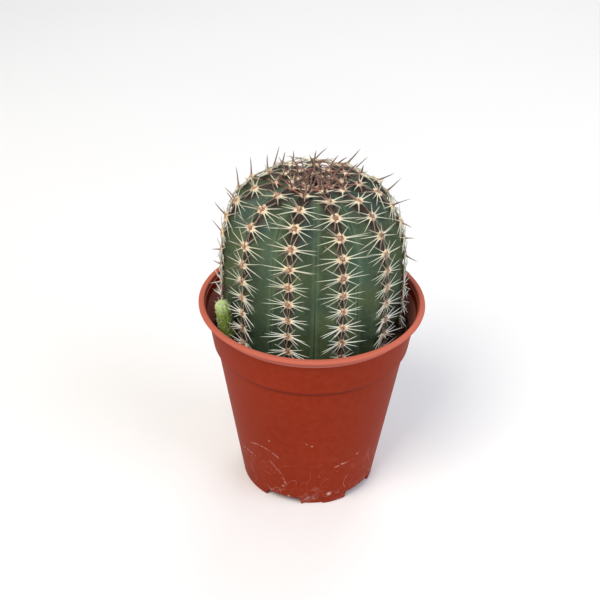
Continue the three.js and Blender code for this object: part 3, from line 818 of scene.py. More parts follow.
def body_sheet():
    """The unshaped skin as rings over a root that the mix hides. Each point carries its place on the ridge
    line and in its rib, its distances from groove and ridge, and how near an areole and the crown are."""
    at = np.linspace(TRACK[0], CROWN_AT, BODY_ROWS + 1)[:-1]
    radius, height = ridge_point(np.interp(at, TRACK, TRACK_ANGLES))
    even = np.arange(COLUMNS_PER_RIB) / COLUMNS_PER_RIB
    turn = np.tile(even + COLUMN_CROWDING * np.sin(2 * math.pi * even) / (2 * math.pi), RIBS)
    rib = np.repeat(np.arange(RIBS), COLUMNS_PER_RIB)
    azimuth = FIRST_RIB_AZIMUTH + (rib + turn) * 360 / RIBS
    rib_width = 2 * math.pi * radius[:, None] / RIBS
    swell = np.stack([swelling(r, at) for r in range(RIBS)], 1)
    root = [(ROOT_RADIUS, ROOT_BOTTOM + 1), (ROOT_RADIUS * 2, ROOT_SHOULDER),
            (BODY_RADIUS * 0.8, SOIL_TOP - BURIED_DEPTH * 1.8)]
    line = np.concatenate([root, np.stack([radius, height], 1)])
    top = float(ridge_point(np.array([math.pi / 2]))[1][0])
    rows = {  # a value for each point of the skin, then one for each pole
        "ribbed": (1.0, 0, 0),
        "radius": (radius[:, None] * MM, 0, 0),
        "height": (height[:, None] * MM, 0, 0),
        "bulge": (bulge_share(height)[:, None] / (BODY_RADIUS * MM) ** 2, 0, 0),
        "azimuth": (azimuth * DEG, 0, 0),
        "turn": (turn, 0, 0),
        "off_groove": ((turn - 0.5) * rib_width, 9, 9),
        "off_ridge": (np.minimum(turn, 1 - turn) * rib_width, 9, 0),
        "swell": (swell[:, np.where(turn < 0.5, rib, (rib + 1) % RIBS)], 0, 1),
        "climb": (np.clip(at / CROWN_AT, 0, 1)[:, None], 0, 1),
    }
    attributes = {}
    for word, (values, low, high) in rows.items():
        grid = np.zeros((len(line), len(azimuth)))
        grid[len(root):] = values
        attributes[word] = np.append(grid.ravel(), [low, high])
    rings = turned(line[:, :1], line[:, 1:], azimuth)
    return ring_piece("cactus_body", rings, (0, 0, ROOT_BOTTOM), (0, 0, top), attributes)


def build_body(settings, material):
    """The plant's body: a sheet that a node tree shapes."""
    body = body_sheet()
    sizes = {
        "Widest": WIDEST * MM,
        "Soil Top": SOIL_TOP * MM,
        "Buried Depth": BURIED_DEPTH * MM,
        "Groove Depth": GROOVE_DEPTH * MM,
        "Groove At Soil": GROOVE_DEPTH_AT_SOIL * MM,
        "Groove Limit": GROOVE_LIMIT,
        "Crease Depth": settings.crease_depth,
        "Crease Width": CREASE_WIDTH,
        "Knob": settings.knob,
        "Knob Width": KNOB_WIDTH,
        "Bulge": BULGE * MM,
    }
    grow(body, body_tree(sizes), {**sizes, "Material": material})
    return body


def body_tree(sizes):
    """Shapes the sheet: rounded ribs, creased grooves, and knobs under the areoles."""
    add = new_tree("Ribbed body", sizes, counts=())
    ribbed, radius, height, bulge, azimuth, turn = (
        add(NAMED, word) for word in ("ribbed", "radius", "height", "bulge", "azimuth", "turn")
    )
    off_groove, off_ridge, swell, climb = (
        add(NAMED, word) for word in ("off_groove", "off_ridge", "swell", "climb")
    )

    # The groove's depth: greatest from the widest place up, less at the soil, and limited at the crown
    rise_share = add(MAP, height, "Soil Top", "Widest")
    buried_end = add("SUBTRACT", "Soil Top", "Buried Depth")
    buried = add(MAP, height, buried_end, "Soil Top")
    deep = add(MAP, rise_share, 0, 1, "Groove At Soil", "Groove Depth")
    limit = add("MULTIPLY", radius, "Groove Limit")
    depth = add("MINIMUM", add("MULTIPLY", deep, buried), limit)

    # Its section: half a cosine wave and half a sine arch, for nearly flat flanks and a narrow ridge
    wave = add("COSINE", add("MULTIPLY", turn, 2 * math.pi))
    arch = add("SINE", add("MULTIPLY", turn, math.pi))
    both = add("ADD", add("MULTIPLY_ADD", wave, -0.5, 0.5), arch)
    groove = add("MULTIPLY", add("MULTIPLY", both, 0.5), depth)

    # The crease: a thin line along the groove that strays a little
    strand = add("vector MULTIPLY", add("GeometryNodeInputPosition"), (1, 1, 0.3))
    stray = add(NOISE, strand, pattern(3.9, 2))
    straying = add("ADD", off_groove, add("MULTIPLY_ADD", stray, 0.9, -0.45))
    narrow = add("DIVIDE", straying, "Crease Width")
    bell = add("EXPONENT", add("MULTIPLY", add("MULTIPLY", narrow, narrow), -1))
    cut = add("MULTIPLY_ADD", bell, "Crease Depth", groove)
    left = add("MAXIMUM", add("SUBTRACT", radius, cut), 0)
    x = add("MULTIPLY", left, add("SINE", azimuth))
    y = add("MULTIPLY", add("MULTIPLY", left, -1), add("COSINE", azimuth))

    # The left shoulder's bulge, which grows with the square of how far left a place is
    left_side = add("MINIMUM", x, 0)
    outward_share = add("MULTIPLY", add("MULTIPLY", left_side, left_side), bulge)
    fuller = add("SUBTRACT", x, add("MULTIPLY", outward_share, "Bulge"))
    place = add(COMBINE, fuller, y, height)
    shaped = add(MOVE, {"Geometry": "Geometry", "Selection": ribbed, "Position": place})

    # The knobs, and a slight waviness all over
    off_crest = add("DIVIDE", off_ridge, "Knob Width")
    minus = add("MULTIPLY", off_crest, -1)
    crest = add("EXPONENT", add("MULTIPLY", off_crest, minus))
    knobs = add("MULTIPLY", crest, add("MULTIPLY_ADD", swell, 1.5, -0.5))
    near_crown = add(MAP, climb, 0.5, 0.8, 1, 1.7)
    uneven = add(NOISE, pattern(4.8, 2))
    waviness = add("MULTIPLY_ADD", uneven, 0.7, -0.35)
    up = add("MULTIPLY", add("MULTIPLY_ADD", knobs, near_crown, waviness), "Knob")
    push = add("vector SCALE", add("GeometryNodeInputNormal"), {"Scale": up})
    return end_tree(add, add(MOVE, {"Geometry": shaped, "Selection": ribbed, "Offset": push}))


def cactus_skin(settings):
    """Waxy cactus skin: satin and faintly translucent, blue-green over the shoulder, with olive patches, a
    paler band and a thin line of painted shade along each groove, and maroon mixed with painted spine shade
    on the ridges between the areoles."""
    material, add = new_material(
        "Waxy cactus skin",
        {"IOR": 1.42, "Specular IOR Level": 0.3, **translucent(0.08, (0.5, 1.0, 0.4), 0.5)},
    )
    place = add("ShaderNodeTexCoord", out=3)
    drawn_out = add("ShaderNodeMapping", {"Vector": place, "Scale": (1, 1, 0.28)})
    # Patches as wide as a rib, clouds and streaks drawn out upwards, and the wax's grain, coarser than it is
    patches = add(NOISE, place, pattern(13.3, 3))
    clouds = add(NOISE, drawn_out, pattern(9.1, 2))
    streaks = add(NOISE, drawn_out, pattern(4.2, 3))
    fine = add(NOISE, place, pattern(0.9, 4))
    off_groove, off_ridge, swell, climb = (
        add(ATTRIBUTE, out=2, attribute_name=word) for word in ("off_groove", "off_ridge", "swell", "climb")
    )
    high = add(MAP, climb, 0.3, 0.62)
    bloom_height = add(MAP, climb, 0.15, 0.5, 0.25, 1)
    bloom = add("MULTIPLY", add(MAP, clouds, 0.45, 0.68, 0, 0.65), bloom_height)
    olive = add(MAP, patches, 0.43, 0.64, 0, 0.75)
    streak = add(MAP, streaks, 0.4, 0.75, 0, 0.4)
    speckle = add(MAP, fine, 0.45, 0.72, 0, 0.22)

    # The groove: a soft paler band, and a thin dark line of painted shade in the crease, which wanders and
    # breaks
    wandering = add("ADD", off_groove, add("MULTIPLY_ADD", streaks, 1.6, -0.8))
    off = add("ABSOLUTE", wandering)
    soft = add(MAP, off, 0.4, 1.7, 1, 0, interpolation_type="SMOOTHSTEP")
    band = add("MULTIPLY", soft, add(MAP, patches, 0.3, 0.6, 0.12, 0.5))
    thin = add(MAP, add("ABSOLUTE", off_groove), 0.1, 0.32, 1, 0)
    line = add("MULTIPLY", thin, add(MAP, streaks, 0.35, 0.6, 0.15, 0.7))

    # The ridge: maroon between the areoles, mixed with painted shade of the spines, wider towards the crown,
    # with a rough edge
    edge = add("MULTIPLY_ADD", fine, 1.6, off_ridge)
    rough_edge = add("MULTIPLY_ADD", patches, 1.2, edge)
    from_ridge = add("SUBTRACT", rough_edge, add(MAP, climb, 0.45, 0.75, 0, 1.1))
    on_ridge = add(MAP, from_ridge, 1.8, 3.4, 1, 0, interpolation_type="SMOOTHSTEP")
    ridge_maroon_and_shade = add("MULTIPLY", on_ridge, add(MAP, swell, 0.25, 0.95, 0.85, 0.35))
    # The crown: its own maroon-brown, darkened further as painted shade among its dense spines
    crown = add(MAP, climb, 0.74, 0.92, 0, 0.9)

    colour = layered(
        add, settings.skin, (high, settings.upper_skin), (bloom, "#5a7768"), (olive, "#566138"),
        (streak, "#26362b"), (speckle, "#697a63"), (band, "#667e60"), (line, "#1b281a"), (ridge_maroon_and_shade, "#35211c"),
        (crown, "#33262a"),
    )
    waxed = add(MAP, fine, 0.3, 0.7, 0.4, 0.62)
    grain = add("MULTIPLY_ADD", streaks, 2, fine)
    return dress(material, {"Base Color": colour, "Roughness": waxed}, grain, 0.5, 0.12)


# Areoles


def point_cloud(name, rows):
    """Loose points in millimetres, with the other values of their rows as attributes."""
    columns = {key: np.array([row[key] for row in rows]) for key in rows[0]}
    return new_piece(name, columns.pop("point"), [], columns)


def areole_points(name):
    """A point for each areole, with its directions and its share of the mouth, the shoulder and the crown."""
    rows = []
    for rib, stations in enumerate(STATIONS):
        out = outward(FIRST_RIB_AZIMUTH + 360 / RIBS * rib)
        side = np.array([-out[1], out[0], 0])
        for at in stations:
            angle = np.interp(at, TRACK, TRACK_ANGLES)
            radius, height = ridge_point(angle)
            along = np.subtract(ridge_point(angle + 0.003), ridge_point(angle - 0.003))
            along /= np.linalg.norm(along)
            up = out * along[0] + np.array([0, 0, along[1]])
            normal = np.cross(side, up)
            place = out * radius + np.array([0, 0, height])
            place[0] -= BULGE * bulge_share(height) * min(place[0] / BODY_RADIUS, 0) ** 2
            crown = smoothstep(CROWN_AT - at, *CROWN_ZONE)
            row = {"point": place + AREOLE_RISE * normal, "side": side, "up": up, "normal": normal}
            zones = {"above": smoothstep(at, *MOUTH_ZONE), "shoulder": smoothstep(at, *SHOULDER_ZONE)}
            rows.append({**row, **zones, "crown": crown, "size": 1 - CROWN_SHRINKING * crown})
    return point_cloud(name, rows)


def felt_tree(sizes):
    """Lays a low cushion of felt on each areole, marked for painted shade, with a ring of paler tufts on it.
    """
    add = new_tree("Felt cushions", sizes, counts=("Seed", "Tufts"))
    side, normal = (add(NAMED, word, data_type="FLOAT_VECTOR") for word in ("side", "normal"))
    size, shoulder = (add(NAMED, word) for word in ("size", "shoulder"))
    cushion, ball = (
        add("GeometryNodeMeshIcoSphere", {"Radius": 0.5, "Subdivisions": fineness}) for fineness in (3, 2)
    )
    # Marks the cushion, whose colour is painted darker as shade under the tufts
    base = add(STORE, {"Geometry": cushion, "Name": "hollow", "Value": 1})
    ring = add("GeometryNodeMeshCircle", {"Vertices": "Tufts", "Radius": "Tuft Ring"})
    raised = add(MOVE, {"Geometry": ring, "Offset": (0.0, 0.0, 0.25)})
    bigger = add("MULTIPLY", "Tuft Size", 1.25)
    tuft_size = add(RANDOM, {LOW: "Tuft Size", HIGH: bigger, SEED: 5}, out=1)
    ring_points = add("GeometryNodeMeshToPoints", raised)
    tufts = add(INSTANCES, {"Points": ring_points, "Instance": ball, "Scale": tuft_size})
    pad = add("GeometryNodeJoinGeometry", [base, add(REALIZE, tufts)])

    spin = add(RANDOM, {LOW: -0.6, HIGH: 0.6, SEED: 9}, out=1)
    extent = add(COMBINE, "Width", "Length", "Height")
    varied = add(RANDOM, {LOW: 0.85, HIGH: 1.15, SEED: "Seed"}, out=1)
    grown_size = add("MULTIPLY_ADD", shoulder, "Shoulder Growth", size)
    scale = add("vector SCALE", extent, {"Scale": add("MULTIPLY", varied, grown_size)})
    laid = add(
        INSTANCES,
        {"Points": add("GeometryNodeMeshToPoints", "Geometry"), "Instance": pad,
         "Rotation": aimed(add, normal, side, spin), "Scale": scale},
    )
    real = add(REALIZE, laid)
    return end_tree(add, roughened(add, real, 0.77, 2, 0.7))


def fan_values(kind, **changes):
    """The inputs of a fan's tree for a kind of spine."""
    values = obstacles(kind)
    for table, unit in ((FAN_SHARES, 1.0), (FAN_SIZES, MM), (FAN_TURNS, DEG)):
        values.update({word: row[kind] * unit for word, row in table.items()})
    return {**values, **changes}


def unit_spine(add, sides, rings):
    """A spine of unit length and radius that stands on its bulb, thins to a point and bows a little."""
    cone = add(
        "GeometryNodeMeshCone",
        {"Vertices": sides, "Side Segments": rings, "Radius Top": 0, "Radius Bottom": 1, "Depth": 1},
    )
    # Its rings crowd towards the root, where its bulb is three times as thick
    xyz = add(SEPARATE, add("GeometryNodeInputPosition"), out=None).outputs
    along = add("POWER", xyz[2], 1.3)
    left = add("SUBTRACT", 1, along)
    taper = add("POWER", add("MAXIMUM", left, 0), 0.5)
    root = add("EXPONENT", add("MULTIPLY", along, -14))
    wanted = add("MULTIPLY", taper, add("MULTIPLY_ADD", root, 2, 1))
    scale = add("DIVIDE", wanted, add("SUBTRACT", 1.001, xyz[2]))
    bow = add("MULTIPLY", add("MULTIPLY", along, left), "Bend")
    x = add("MULTIPLY_ADD", xyz[0], scale, bow)
    place = add(COMBINE, x, add("MULTIPLY", xyz[1], scale), along)
    shaped = add(MOVE, {"Geometry": cone, "Position": place})
    height = add(SEPARATE, add("GeometryNodeInputPosition"), out=2)
    return add(STORE, {"Geometry": shaped, "Name": "along", "Value": height})


def fan_tree(name, sides, rings):
    """Stands a fan of slim spines on each areole point, kept off the pot's wall, the mix and the shoot."""
    add = new_tree(name, fan_values(HAIRS))
    side, up, normal = (add(NAMED, word, data_type="FLOAT_VECTOR") for word in ("side", "up", "normal"))
    above, shoulder, crown, size = (add(NAMED, word) for word in ("above", "shoulder", "crown", "size"))

    def grown_from(start, steps):
        """A start, with the share of each zone of a named number added to it."""
        for share, word in steps:
            start = add("MULTIPLY_ADD", share, word, start)
        return start

    # How many, and which of them this one is
    steps = [(shoulder, "Shoulder Amount"), (crown, "Crown Amount")]
    amount = add("ROUND", grown_from("Amount", steps))
    points = add("GeometryNodeMeshToPoints", "Geometry")
    index = {"Geometry": points, "Name": "areole", "Value": add("GeometryNodeInputIndex")}
    numbered = add(STORE, index, data_type="INT")
    copies = add("GeometryNodeDuplicateElements", {"Geometry": numbered, "Amount": amount}, out=None).outputs
    areole = add(NAMED, "areole", data_type="INT")
    start = add(RANDOM, {LOW: -0.25, HIGH: 0.25, ID: areole, SEED: "Seed"}, out=1)
    part = add("DIVIDE", add("ADD", copies[1], 0.5), amount)
    even = add("MULTIPLY_ADD", part, 2 * math.pi, start)
    seeds = [add("ADD", "Seed", step) for step in range(1, 6)]
    turn_draw, lift_draw, length_draw, spin_draw = (
        add(RANDOM, {LOW: -1, HIGH: 1, SEED: seeds[i]}, out=1) for i in (0, 1, 2, 4)
    )
    tone = add(RANDOM, {LOW: 0, HIGH: 1, SEED: seeds[3]}, out=1)

    # Its turn about the areole, gathered towards the sides
    twice = add("SINE", add("MULTIPLY", even, 2))
    gathered = add("SUBTRACT", even, add("MULTIPLY", twice, "Sideways"))
    turn = grown_from(gathered, [(turn_draw, "Turn Varies")])
    cosine = add("COSINE", turn)
    sine = add("SINE", turn)
    upright = add("ABSOLUTE", sine)

    # Its lift off the skin, and its length
    parts = ((upright, "Steep"), (above, "Upper"), (shoulder, "Shoulder"), (crown, "Crown"))
    spread = grown_from("Lift Varies", [(crown, "Crown Varies")])
    mean_lift = grown_from("Lift", [(share, f"{word} Lift") for share, word in parts])
    lift = add("MULTIPLY_ADD", lift_draw, spread, mean_lift)
    basic = grown_from("Length", [(shoulder, "Shoulder Length"), (crown, "Crown Length")])
    cut = grown_from(1, [(upright, "Upright Share")])
    varied = grown_from(1, [(length_draw, "Length Varies")])
    length = add("MULTIPLY", basic, add("MULTIPLY", cut, varied))

    # Its direction and its root
    level_side = add("vector SCALE", side, {"Scale": cosine})
    level_up = add("vector SCALE", up, {"Scale": sine})
    level = add("vector ADD", level_side, level_up)
    laid = add("vector SCALE", level, {"Scale": add("COSINE", lift)})
    direction = add("vector MULTIPLY_ADD", normal, add("SINE", lift), laid)
    root = add("GeometryNodeInputPosition")
    width = add("MULTIPLY", "Root Width", size)
    reach = add("MULTIPLY", "Root Length", size)
    for axis, distance in ((level_side, width), (level_up, reach), (normal, "Root Height")):
        root = add("vector MULTIPLY_ADD", axis, distance, root)
    fitted = add("MULTIPLY", length, clear_share(add, root, direction, length))

    # All is stored before the point moves to its root, because it is worked out from the areole's place
    stored = copies[0]
    for word, value, kind in (
        ("direction", direction, "FLOAT_VECTOR"), ("length", fitted, "FLOAT"), ("upright", upright, "FLOAT"),
        ("root", root, "FLOAT_VECTOR"), ("tone", tone, "FLOAT"),
    ):
        stored = add(STORE, {"Geometry": stored, "Name": word, "Value": value}, data_type=kind)
    kept_root, kept_direction = (add(NAMED, word, data_type="FLOAT_VECTOR") for word in ("root", "direction"))
    rooted = add(MOVE, {"Geometry": stored, "Position": kept_root})

    spin = add("MULTIPLY", spin_draw, "Spin Varies")
    slim = add("MULTIPLY_ADD", tone, 0.3, 0.85)
    stout = grown_from(slim, [(shoulder, "Shoulder Thickness"), (crown, "Crown Thickness")])
    thick = add("MULTIPLY", "Thickness", stout)
    scale = add(COMBINE, thick, thick, add(NAMED, "length"))
    spines = add(
        INSTANCES,
        {"Points": rooted, "Instance": unit_spine(add, sides, rings), "Scale": scale,
         "Rotation": aimed(add, kept_direction, normal, spin)},
    )
    return end_tree(add, spines)


def clear_share(add, root, direction, length):
    """The share of a spine's length that stays off the pot's wall, the mix and the young shoot."""
    span = add("vector SCALE", direction, {"Scale": length})
    tip = add("vector ADD", root, span)
    root_level, tip_level = (add("vector MULTIPLY", point, (1, 1, 0)) for point in (root, tip))
    root_radius, tip_radius = (add("vector LENGTH", point, out=1) for point in (root_level, tip_level))
    root_z, tip_z = (add(SEPARATE, point, out=2) for point in (root, tip))

    room = add("SUBTRACT", "Wall Radius", root_radius)
    travel = add("MAXIMUM", add("SUBTRACT", tip_radius, root_radius), 1e-6)
    in_pot = add("LESS_THAN", tip_z, "Rim Height")
    switch = {0: in_pot, 1: 1, 2: add("DIVIDE", room, travel)}
    wall_share = add("GeometryNodeSwitch", switch, input_type="FLOAT")

    over_soil = add("SUBTRACT", root_z, "Soil Height")
    drop = add("MAXIMUM", add("SUBTRACT", root_z, tip_z), 1e-6)
    soil_share = add("DIVIDE", over_soil, drop)

    shoot = add(COMBINE, "Shoot X", "Shoot Y")
    apart = add("vector DISTANCE", tip_level, shoot, out=1)
    beside = add("LESS_THAN", apart, "Shoot Radius")
    hits = add("MULTIPLY", beside, add("LESS_THAN", tip_z, "Shoot Height"))
    shoot_share = add("MULTIPLY_ADD", hits, -0.45, 1)

    least = add("MINIMUM", add("MINIMUM", wall_share, soil_share), shoot_share)
    return add("ShaderNodeClamp", least, 0.12, 1)


def shoot_axis(z):
    """The shoot's axis at a height."""
    share = (np.asarray(z, float) - SOIL_TOP) / (SHOOT_TOP - SOIL_TOP)
    offset = SHOOT_FOOT_OFFSET + (SHOOT_TOP_OFFSET - SHOOT_FOOT_OFFSET) * share
    axis = offset[..., None] * outward(SHOOT_AZIMUTH)
    axis[..., 2] = z
    return axis


def obstacles(kind):
    """What a kind of spine keeps clear of, as inputs of the fan's tree. Bristles don't avoid the shoot."""
    own = int(kind == BRISTLES)
    middle = shoot_axis((POT_HEIGHT + SHOOT_TOP) / 2)
    clear = {
        "Wall Radius": WALL_RADIUS[own],
        "Rim Height": POT_HEIGHT + OVER_RIM[own],
        "Soil Height": SOIL_TOP + OVER_SOIL[own],
        "Shoot X": middle[0],
        "Shoot Y": middle[1],
        "Shoot Height": 0 if own else SHOOT_TOP + OVER_SHOOT,
        "Shoot Radius": SHOOT_RADIUS + ROUND_SHOOT,
    }
    return {word: size * MM for word, size in clear.items()}


def wool_felt(settings):
    """Areole felt: a matted cushion of short plant hair, so it is matt and soft at its edges."""
    material, add = new_material(
        "Matted plant hair",
        {"Roughness": 0.95, "Specular IOR Level": 0.15, "Sheen Weight": 0.4, "Sheen Roughness": 0.6,
         **translucent(0.25, (1.0, 0.7, 0.5), 0.4)},
    )
    place = add("ShaderNodeTexCoord", out=3)
    # Single hairs are too fine to show, so the mat is drawn in locks of 0.4 mm
    mat = add(NOISE, place, pattern(0.4, 3))
    patch = add(NOISE, place, pattern(2, 1))
    hollow, shoulder = (add(ATTRIBUTE, out=2, attribute_name=word) for word in ("hollow", "shoulder"))
    worn = add(MAP, patch, 0.52, 0.7, 0, 0.5)
    fresh = layered(add, "#dfb893", (shoulder, settings.felt))
    # Painted shade: a darker copy of the felt that the lit felt covers in the mat's locks, and dark brown on
    # the cushion under the tufts
    colour = layered(
        add, fresh, (0.45, "#8a6650"), (add(MAP, mat, 0.3, 0.65), fresh), (hollow, "#8a5a48"),
        (worn, "#b98272"),
    )
    return dress(material, {"Base Color": colour}, mat, 0.8, 0.15)


def spine_material(name, base, shaft, tip, crown_shaft, tip_from):
    """Keratin-like spine tissue: hard and satin, cream or tan at the bulb, then the shaft's colour, then the
    tip's. It is whiter near the pot, and darker where it is new, at the crown."""
    material, add = new_material(
        name,
        {"Roughness": 0.42, "IOR": 1.5, "Specular IOR Level": 0.4, **translucent(0.15, (1.0, 0.9, 0.7), 0.3)},
    )
    along, above, shoulder, crown, tone, upright = (
        add(ATTRIBUTE, out=2, attribute_name=word)
        for word in ("along", "above", "shoulder", "crown", "tone", "upright")
    )
    whitening = add(MAP, above, 0, 1, 0.9, 0.1)
    aged = layered(add, shaft, (whitening, "#e4e6dc"), (add("MULTIPLY", shoulder, 0.2), base))
    reddened = add(MAP, tone, 0.45, 0.75)
    newest = layered(add, crown_shaft, (reddened, "#8f4a3c"), (add(MAP, tone, 0.2, 0.36, 0.75, 0), base))
    newness = add("ADD", crown, add(MAP, tone, 0, 1, -0.6, 0.12), use_clamp=True)
    tip_share = add("MULTIPLY", shoulder, add(MAP, crown, 0, 1, 0.35, 1))
    at_tip = add("MULTIPLY", add(MAP, along, tip_from, 1), tip_share)
    tipped = layered(add, aged, (add(MAP, newness, 0.15, 0.75), newest), (at_tip, tip))
    off_root = add(MAP, along, 0.04, add(MAP, crown, 0, 1, 0.22, 0.35))
    browning = add(MAP, upright, 0.6, 0.95, 0, 0.7)
    shade = add("ADD", add(MAP, tone, 0.3, 1, 0, 0.3), browning)
    varied = layered(add, base, (off_root, tipped), (shade, "#765a50"))
    return dress(material, {"Base Color": varied})


# Young shoot


def build_shoot_body():
    """The shoot: a short leaning finger with low knobbed ribs and a round pale top."""
    foot = SOIL_TOP - SHOOT_BURIED
    line = resampled(
        [(0.3, foot), (SHOOT_RADIUS * 0.5, foot + 0.1), (SHOOT_RADIUS * 0.82, SOIL_TOP + 0.6),
         (SHOOT_RADIUS, SOIL_TOP + SHOOT_RADIUS * 1.6), (SHOOT_RADIUS, SHOOT_SHOULDER),
         *arc((0, SHOOT_SHOULDER), SHOOT_RADIUS, 0, 86, 14)],
        (SHOOT_TOP - foot) / SHOOT_ROWS * 1.2,
    )
    azimuth = np.arange(SHOOT_COLUMNS) * 360 / SHOOT_COLUMNS
    height = line[:, 1:]
    twisted = azimuth[None, :] + SHOOT_TWIST * (height - SOIL_TOP)
    ridge = np.abs(np.cos(twisted * DEG * SHOOT_RIBS / 2)) ** 1.5
    phase = 2 * math.pi * (height - foot) / SHOOT_KNOB_SPACING + np.floor(twisted * SHOOT_RIBS / 360) * 2.1
    knob = 0.5 + 0.5 * np.cos(phase)
    radius = line[:, :1] * (0.87 + 0.12 * ridge + 0.07 * ridge * knob)
    rings = radius[..., None] * outward(azimuth)[None] + shoot_axis(height[:, 0])[:, None, :]
    climb = (height - SOIL_TOP) / (SHOOT_TOP - SOIL_TOP) * np.ones_like(radius)
    attributes = {"climb": np.append(climb, [0, 1]), "ridge": np.append(ridge * knob, [0, 0.5])}
    return ring_piece("shoot_body", rings, shoot_axis(foot), shoot_axis(SHOOT_TOP), attributes)


def shoot_points():
    """Bristle points on the shoot's ribs, with their directions."""
    rows = []
    heights = np.arange(SOIL_TOP + 2 * SHOOT_HAIR_SPACING, SHOOT_TOP - 0.2, SHOOT_HAIR_SPACING)
    for level, z in enumerate(heights):
        steep = math.asin(max(z - SHOOT_SHOULDER, 0) / SHOOT_RADIUS)
        for rib in range(SHOOT_RIBS):
            out = outward((rib + 0.5 * (level % 2)) * 360 / SHOOT_RIBS - SHOOT_TWIST * (z - SOIL_TOP))
            side = np.array([-out[1], out[0], 0])
            normal = out * math.cos(steep) + np.array([0, 0, math.sin(steep)])
            root = shoot_axis(z) + out * (SHOOT_RADIUS * math.cos(steep) * 0.93)
            row = {"point": root, "side": side, "up": np.cross(normal, side), "normal": normal}
            rows.append({**row, "above": 0, "shoulder": 0, "crown": 0, "size": 1})
    return point_cloud("shoot_hairs", rows)


def young_skin(settings):
    """Young cactus skin: thin and bright, paler at the growing tip and darker in its shade."""
    material, add = new_material(
        "Young cactus skin",
        {"Roughness": 0.5, "IOR": 1.42, "Specular IOR Level": 0.35, **translucent(0.3, (0.7, 1.0, 0.3), 0.8)},
    )
    place = add("ShaderNodeTexCoord", out=3)
    climb, ridge = (add(ATTRIBUTE, out=2, attribute_name=word) for word in ("climb", "ridge"))
    grain = add(NOISE, place, pattern(1.4, 3))  # drawn coarser than the skin's cells, so that it shows
    low = add(MAP, climb, 0.1, 0.6)
    colour = layered(
        add, "#5c7a2e", (low, settings.lime), (add(MAP, climb, 0.72, 1, 0, 0.85), "#cfe4a6"),
        (add(MAP, ridge, 0.8, 0.97, 0, 0.5), "#b9a86a"), (add(MAP, grain, 0.35, 0.7, 0, 0.3), "#5f7f28"),
    )
    return dress(material, {"Base Color": colour}, grain, 0.4, 0.1)


# Operators, one for each piece or group of like pieces


class CACTUS_OT_pot(bpy.types.Operator):
    """Build the moulded pot"""

    bl_idname = "cactus.pot"
    bl_label = "Pot"

    def execute(self, context):
        hand_over(build_pot_shell(), "pot", polypropylene(context.scene.cactus_pot))
        return {"FINISHED"}


class CACTUS_OT_soil(bpy.types.Operator):
    """Build the bed of potting mix and strew it with crumbs"""

    bl_idname = "cactus.soil"
    bl_label = "Potting mix"

    def execute(self, context):
        settings = context.scene.cactus_soil
        material = peat_mix(settings)
        bed = build_soil_bed()
        grains = bpy.data.objects.new("soil_grains", bed.data.copy())
        context.scene.collection.objects.link(grains)
        values = {"Density": settings.density, "Grain": settings.grain, "Seed": 2, "Material": material}
        grow(grains, grain_tree(), values)
        hand_over(bed, "soil", material)
        hand_over(grains, "soil")
        return {"FINISHED"}


class CACTUS_OT_body(bpy.types.Operator):
    """Build the ribbed body"""

    bl_idname = "cactus.body"
    bl_label = "Body"

    def execute(self, context):
        settings = context.scene.cactus_plant
        hand_over(build_body(settings, cactus_skin(settings)), "stem")
        return {"FINISHED"}


class CACTUS_OT_felt(bpy.types.Operator):
    """Lay the felt on the areoles and raise its loose hairs"""

    bl_idname = "cactus.felt"
    bl_label = "Felt"

    def execute(self, context):
        material = wool_felt(context.scene.cactus_spines)
        cushions = areole_points("areole_felt")
        sizes = {"Width": 1.85 * MM, "Length": 1.95 * MM, "Height": 0.9 * MM, "Shoulder Growth": 0.25}
        sizes.update({"Tuft Ring": 0.4, "Tuft Size": 0.37})  # of the cushion
        grow(cushions, felt_tree(sizes), {**sizes, "Tufts": 5, "Seed": 21, "Material": material})
        hand_over(cushions, "stem")
        fuzz = areole_points("areole_fuzz")
        grow(fuzz, fan_tree("Felt hairs", 3, 2), fan_values(HAIRS, Seed=31, Material=material))
        hand_over(fuzz, "stem")
        return {"FINISHED"}


class CACTUS_OT_spines(bpy.types.Operator):
    """Stand the radial and the central spines on the areoles"""

    bl_idname = "cactus.spines"
    bl_label = "Spines"

    def execute(self, context):
        settings = context.scene.cactus_spines
        tree = fan_tree("Spine fan", 6, 5)
        pale = spine_material("Pale spine tissue", "#f4dfbd", settings.shaft, "#84655a", "#a98474", 0.6)
        dark = spine_material("Dark spine tissue", "#c09a78", "#44302e", "#211a1e", "#583731", 0.1)
        radials = fan_values(RADIALS, Amount=float(settings.radials), Seed=41, Material=pale)
        radials.update({"Length": settings.radial_length, "Thickness": settings.radial_radius})
        centrals = fan_values(CENTRALS, Seed=53, Material=dark)
        centrals.update({"Length": settings.central_length, "Thickness": settings.central_radius})
        for name, values in (("radial_spines", radials), ("central_spines", centrals)):
            piece = areole_points(name)
            grow(piece, tree, values)
            hand_over(piece, "stem")
        return {"FINISHED"}


class CACTUS_OT_shoot(bpy.types.Operator):
    """Build the young shoot and its bristles"""

    bl_idname = "cactus.shoot"
    bl_label = "Young shoot"

    def execute(self, context):
        settings = context.scene.cactus_shoot
        hand_over(build_shoot_body(), "offset_shoot", young_skin(settings))
        white = spine_material("Young bristle tissue", "#e8e2c8", "#eef0e2", "#d8d2c0", "#eef0e2", 0.6)
        hairs = shoot_points()
        bristles = fan_values(BRISTLES, Length=settings.hair_length, Seed=67, Material=white)
        grow(hairs, fan_tree("Bristle fan", 4, 3), bristles)
        hand_over(hairs, "offset_shoot")
        return {"FINISHED"}


